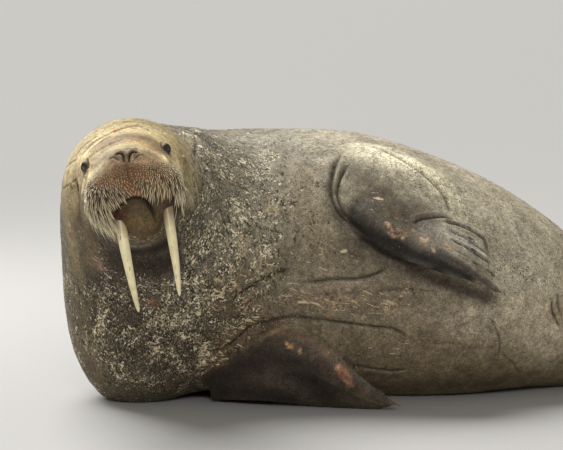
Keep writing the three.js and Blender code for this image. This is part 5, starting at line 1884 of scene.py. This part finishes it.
@dataclass(frozen=True)
class Whiskers:
    """The whiskers: stiff pale bristles in rows over both pads. Places are in the head's frame, in mm.

    Attributes:
        pad: the middle of the left pad.
        rim: about how far from it the hide is.
        spacing: how far apart they are in a row.
        rows: how far apart the rows are, as a share of the spacing.
        stray: how far a root strays from its place, as a share of the spacing.
        gaps: what share of the lowest ones is missing.
        thick: how thick they are at the root.
        short: how long the top ones are.
        long: how long the lowest ones are halfway out.
        ruffle: how far each turns aside.
        mouth_at: the middle of the open mouth.
        mouth_size: half its width and half its height.
        tusks_at: how far out the left and the right tusk come from the pads.
        tusk_gap: how far off a tusk's middle whiskers start.
        tusk_top: where the tusk comes out, upward.
        nose_line: how high they grow: the height by the nose, and its factors of out and of out squared.
        lowest: how far below the eyes they end.
        rearmost: how far back they end.
        between: half the gap between the pads.
        top: where their lengths start to grow downward.
        high: how far below that they are at their longest.
        out: how far out they are at their longest.
        thinned: where gaps start, downward, and over what height they grow to their full share.
        sunk: how deep their roots are in the hide.
        outside: how far from the pad's middle the hide is looked for.
        seed: starts the random draws.
    """

    pad: Point = (58, -130, 148)
    rim: float = 95
    spacing: float = 7.8
    rows: float = 0.87
    stray: float = 0.22
    gaps: float = 0.42
    thick: float = 2.1
    short: float = 7
    long: float = 58
    ruffle: float = 0.07
    mouth_at: Pair = (6, -208)
    mouth_size: Pair = (60, 74)
    tusks_at: Pair = (86, 50)
    tusk_gap: float = 27
    tusk_top: float = -150
    nose_line: Point = (-46, -0.02, -0.0012)
    lowest: float = -200
    rearmost: float = 75
    between: float = 3
    top: float = -50
    high: float = 130
    out: float = 140
    thinned: Pair = (-90, 80)
    sunk: float = 2
    outside: float = 300
    seed: int = 5

    def grows(self, at: Array, side: Side) -> bool:
        """Whether whiskers grow at a place: under the line of the nose, and off the mouth and the tusk."""
        out = at[0] * side.value
        nose_line = self.nose_line[0] + self.nose_line[1] * out + self.nose_line[2] * out * out
        across, up = ((at[k] - self.mouth_at[k]) / self.mouth_size[k] for k in range(2))
        tusk = self.tusks_at[0] if side is Side.LEFT else self.tusks_at[1]
        by_tusk = abs(out - tusk) < self.tusk_gap and at[1] < self.tusk_top
        on_pad = out > self.between and nose_line > at[1] > self.lowest and at[2] > self.rearmost
        return on_pad and math.hypot(across, up) > 1 and not by_tusk

    def roots(self, tree: BVHTree, rng: np.random.Generator) -> list[tuple[Vector, Vector, Array, Side]]:
        """Where whiskers grow: the point, the hide's normal, its place in the head's frame, and the side."""
        found = []
        outside = self.outside * MM
        step = self.spacing / self.rim
        for side in Side:
            middle = HEAD.place(side.mirrored(self.pad))
            for i, height in enumerate(np.arange(-1.3, 1.3, step * self.rows)):
                for turn in np.arange(-1.4, 1.6, step / max(math.cos(height), 0.25)) + (i % 2) * step / 2:
                    lift, swing = np.array((height, turn)) + rng.uniform(-self.stray, self.stray, 2) * step
                    way = HEAD.way((side.value * math.sin(swing) * math.cos(lift), math.sin(lift),
                                    math.cos(swing) * math.cos(lift)))
                    hit, normal, _, _ = tree.ray_cast(middle + way * outside, -way, outside)
                    if hit is None:
                        continue
                    at = HEAD.local_mm(np.array(hit)[None])[0]
                    missing = self.gaps * min(max((self.thinned[0] - at[1]) / self.thinned[1], 0), 1)
                    if self.grows(at, side) and rng.random() > missing:
                        found.append((hit, normal, at, side))
        return found

    def build(self, tree: BVHTree, unwrap: Unwrap, finish: BristleFinish) -> Object:
        """Sets the whiskers on the pads of the hide."""
        rng = np.random.default_rng(self.seed)
        found = self.roots(tree, rng)
        count = len(found)
        roots, ways, bends, ups = (np.empty((count, 3)) for _ in range(4))
        lengths, widths = np.empty(count), np.empty(count)
        for n, (hit, normal, at, side) in enumerate(found):
            lower = min(max((self.top - at[1]) / self.high, 0), 1)
            outer = min(max(at[0] * side.value / self.out, 0), 1)
            lean = HEAD.way((side.value * (0.02 + 0.26 * outer), -0.4 - 0.9 * lower, 0.5 - 0.3 * lower))
            aim = (normal * (0.8 - 0.3 * lower) + lean).normalized() + Vector(rng.normal(0, self.ruffle, 3))
            length = self.short + (self.long - self.short) * lower**1.4 * (0.5 + 0.65 * outer)
            droop = HEAD.way((-side.value * (0.06 + 0.42 * lower), -0.3 * lower, -0.2 * lower))
            roots[n] = hit - normal * self.sunk * MM
            ways[n] = aim.normalized()
            ups[n] = normal
            bends[n] = droop * rng.uniform(0.6, 1.3)
            lengths[n] = length * rng.uniform(0.7, 1.25) * MM
            widths[n] = self.thick * (0.8 + 0.55 * lower) * rng.uniform(0.75, 1.15) * MM
        strands = Strands("whiskers", roots, ways, bends, ups, lengths, widths, taper=2.2, rings=7)
        piece = strands.build(unwrap)
        dress(piece, finish.material())
        LOG.info("whiskers: %d", count)
        return piece


@dataclass(frozen=True)
class Lamp:
    """A soft square lamp that shines on the model: its name, its place, its width and its power in watts."""

    name: str
    place: Point
    size: float
    power: float
    aim: Point = (0, 0, 0.5)

    def build(self) -> None:
        """Hangs the lamp."""
        bpy.ops.object.light_add(type="AREA", location=self.place)
        lamp = bpy.context.object
        lamp.name = self.name
        lamp.data.size = self.size
        lamp.data.energy = self.power
        way = Vector(self.aim) - Vector(self.place)
        lamp.rotation_euler = way.to_track_quat("-Z", "Y").to_euler()


@dataclass(frozen=True)
class Studio:
    """A pale floor in a pale room, with one broad light high up and two small lamps."""

    floor: float = 80.0
    room: str = "e8e6e0"
    room_light: float = 0.42
    high_light: float = 4.8
    high_width: float = 38  # how wide the high light looks, in degrees
    high_way: Point = (0.28, -0.5, -0.85)
    lamps: tuple[Lamp, ...] = (
        Lamp("front_light", (-1.0, -6.0, 3.6), 1.8, 150),
        Lamp("rim_light", (-3.4, 2.6, 2.2), 1.2, 90),
    )

    def build(self) -> None:
        """Lays the floor and hangs the lights."""
        bpy.ops.object.select_all(action="DESELECT")
        bpy.ops.mesh.primitive_plane_add(size=self.floor)
        floor = bpy.context.object
        floor.name = "floor"
        floor.data.materials.append(FloorFinish().material())
        world = bpy.data.worlds.new("soft_room")
        world.use_nodes = True
        background = world.node_tree.nodes["Background"]
        background.inputs["Color"].default_value = linear(self.room)
        background.inputs["Strength"].default_value = self.room_light
        bpy.context.scene.world = world
        bpy.ops.object.light_add(type="SUN", location=(0, 3, 5))
        sun = bpy.context.object
        sun.name = "high_light"
        sun.data.energy = self.high_light
        sun.data.angle = math.radians(self.high_width)
        sun.rotation_euler = Vector(self.high_way).to_track_quat("-Z", "Y").to_euler()
        for lamp in self.lamps:
            lamp.build()
        bpy.context.scene.view_settings.view_transform = "Standard"


# The animal's own pieces

TUSKS = (
    Tusk(Side.LEFT, root=(86, -172, 128), bend=(80, -320, 156), tip=(64, -449, 112)),
    Tusk(Side.RIGHT, root=(-52, -150, 128), bend=(-66, -312, 158), tip=(-62, -469, 112), wide=19),
)
FORE_CLAWS = (14, 16, 18, 18, 16)
HIND_CLAWS = (18, 36, 38, 36, 18)
CLAWS = (
    Claws("fore_flipper_left", palm=((576, -270, 560), (590, -455, 392)),
          tips=((655, -285, 490), (690, -405, 340)), back=(0.1, -1, 0.35), lengths=FORE_CLAWS),
    Claws("fore_flipper_right", palm=((330, -410, 10), (290, -490, 60)),
          tips=((345, -442, 0), (373, -480, 12)), back=(0.3, -0.5, 1), lengths=FORE_CLAWS),
    Claws("hind_flipper_left", palm=((1840, 500, 20), (1900, 225, 62)),
          tips=((1930, 510, 5), (2010, 235, 40)), back=(0, 0, 1), lengths=HIND_CLAWS, wide=10),
    Claws("hind_flipper_right", palm=((1960, 195, 20), (1950, -35, 20)),
          tips=((2050, 200, 8), (2050, -60, 8)), back=(0, 0, 1), lengths=HIND_CLAWS, wide=10),
)
COATS = (
    Coat("coat_head", stretch=(0, 480), long=8, wide=1.3, seed=31),
    Coat("coat_front", stretch=(480, 1000), long=12, wide=1.6, seed=32),
    Coat("coat_middle", stretch=(1000, 1600), long=13, wide=1.9, lift=0.28, seed=33),
    Coat("coat_rear", stretch=(1600, 3000), long=13, wide=2.1, lift=0.28, seed=34),
)


def main() -> None:
    """Builds the pieces in order and reports each."""
    logging.basicConfig(level=logging.INFO, format="%(message)s")
    VIEW.camera()
    Studio().build()
    hide = Skin()
    skin = hide.build(HideFinish())
    skin.data.calc_loop_triangles()
    LOG.info("hide: %d points, %d triangles", len(skin.data.vertices), len(skin.data.loop_triangles))
    tree = Clay(skin).bvh()
    pieces = [Eye(side).build(EyeFinish()) for side in Side]
    pieces += [tusk.build(IvoryFinish()) for tusk in TUSKS]
    pieces.append(Whiskers().build(tree, hide.unwrap, BristleFinish()))
    pieces += [claws.build(tree, ClawFinish()) for claws in CLAWS]
    pieces += [coat.build(skin, hide.unwrap) for coat in COATS]
    for piece in pieces:
        LOG.info("%s: %d faces", piece.name, len(piece.data.polygons))


if __name__ == "__main__":
    main()
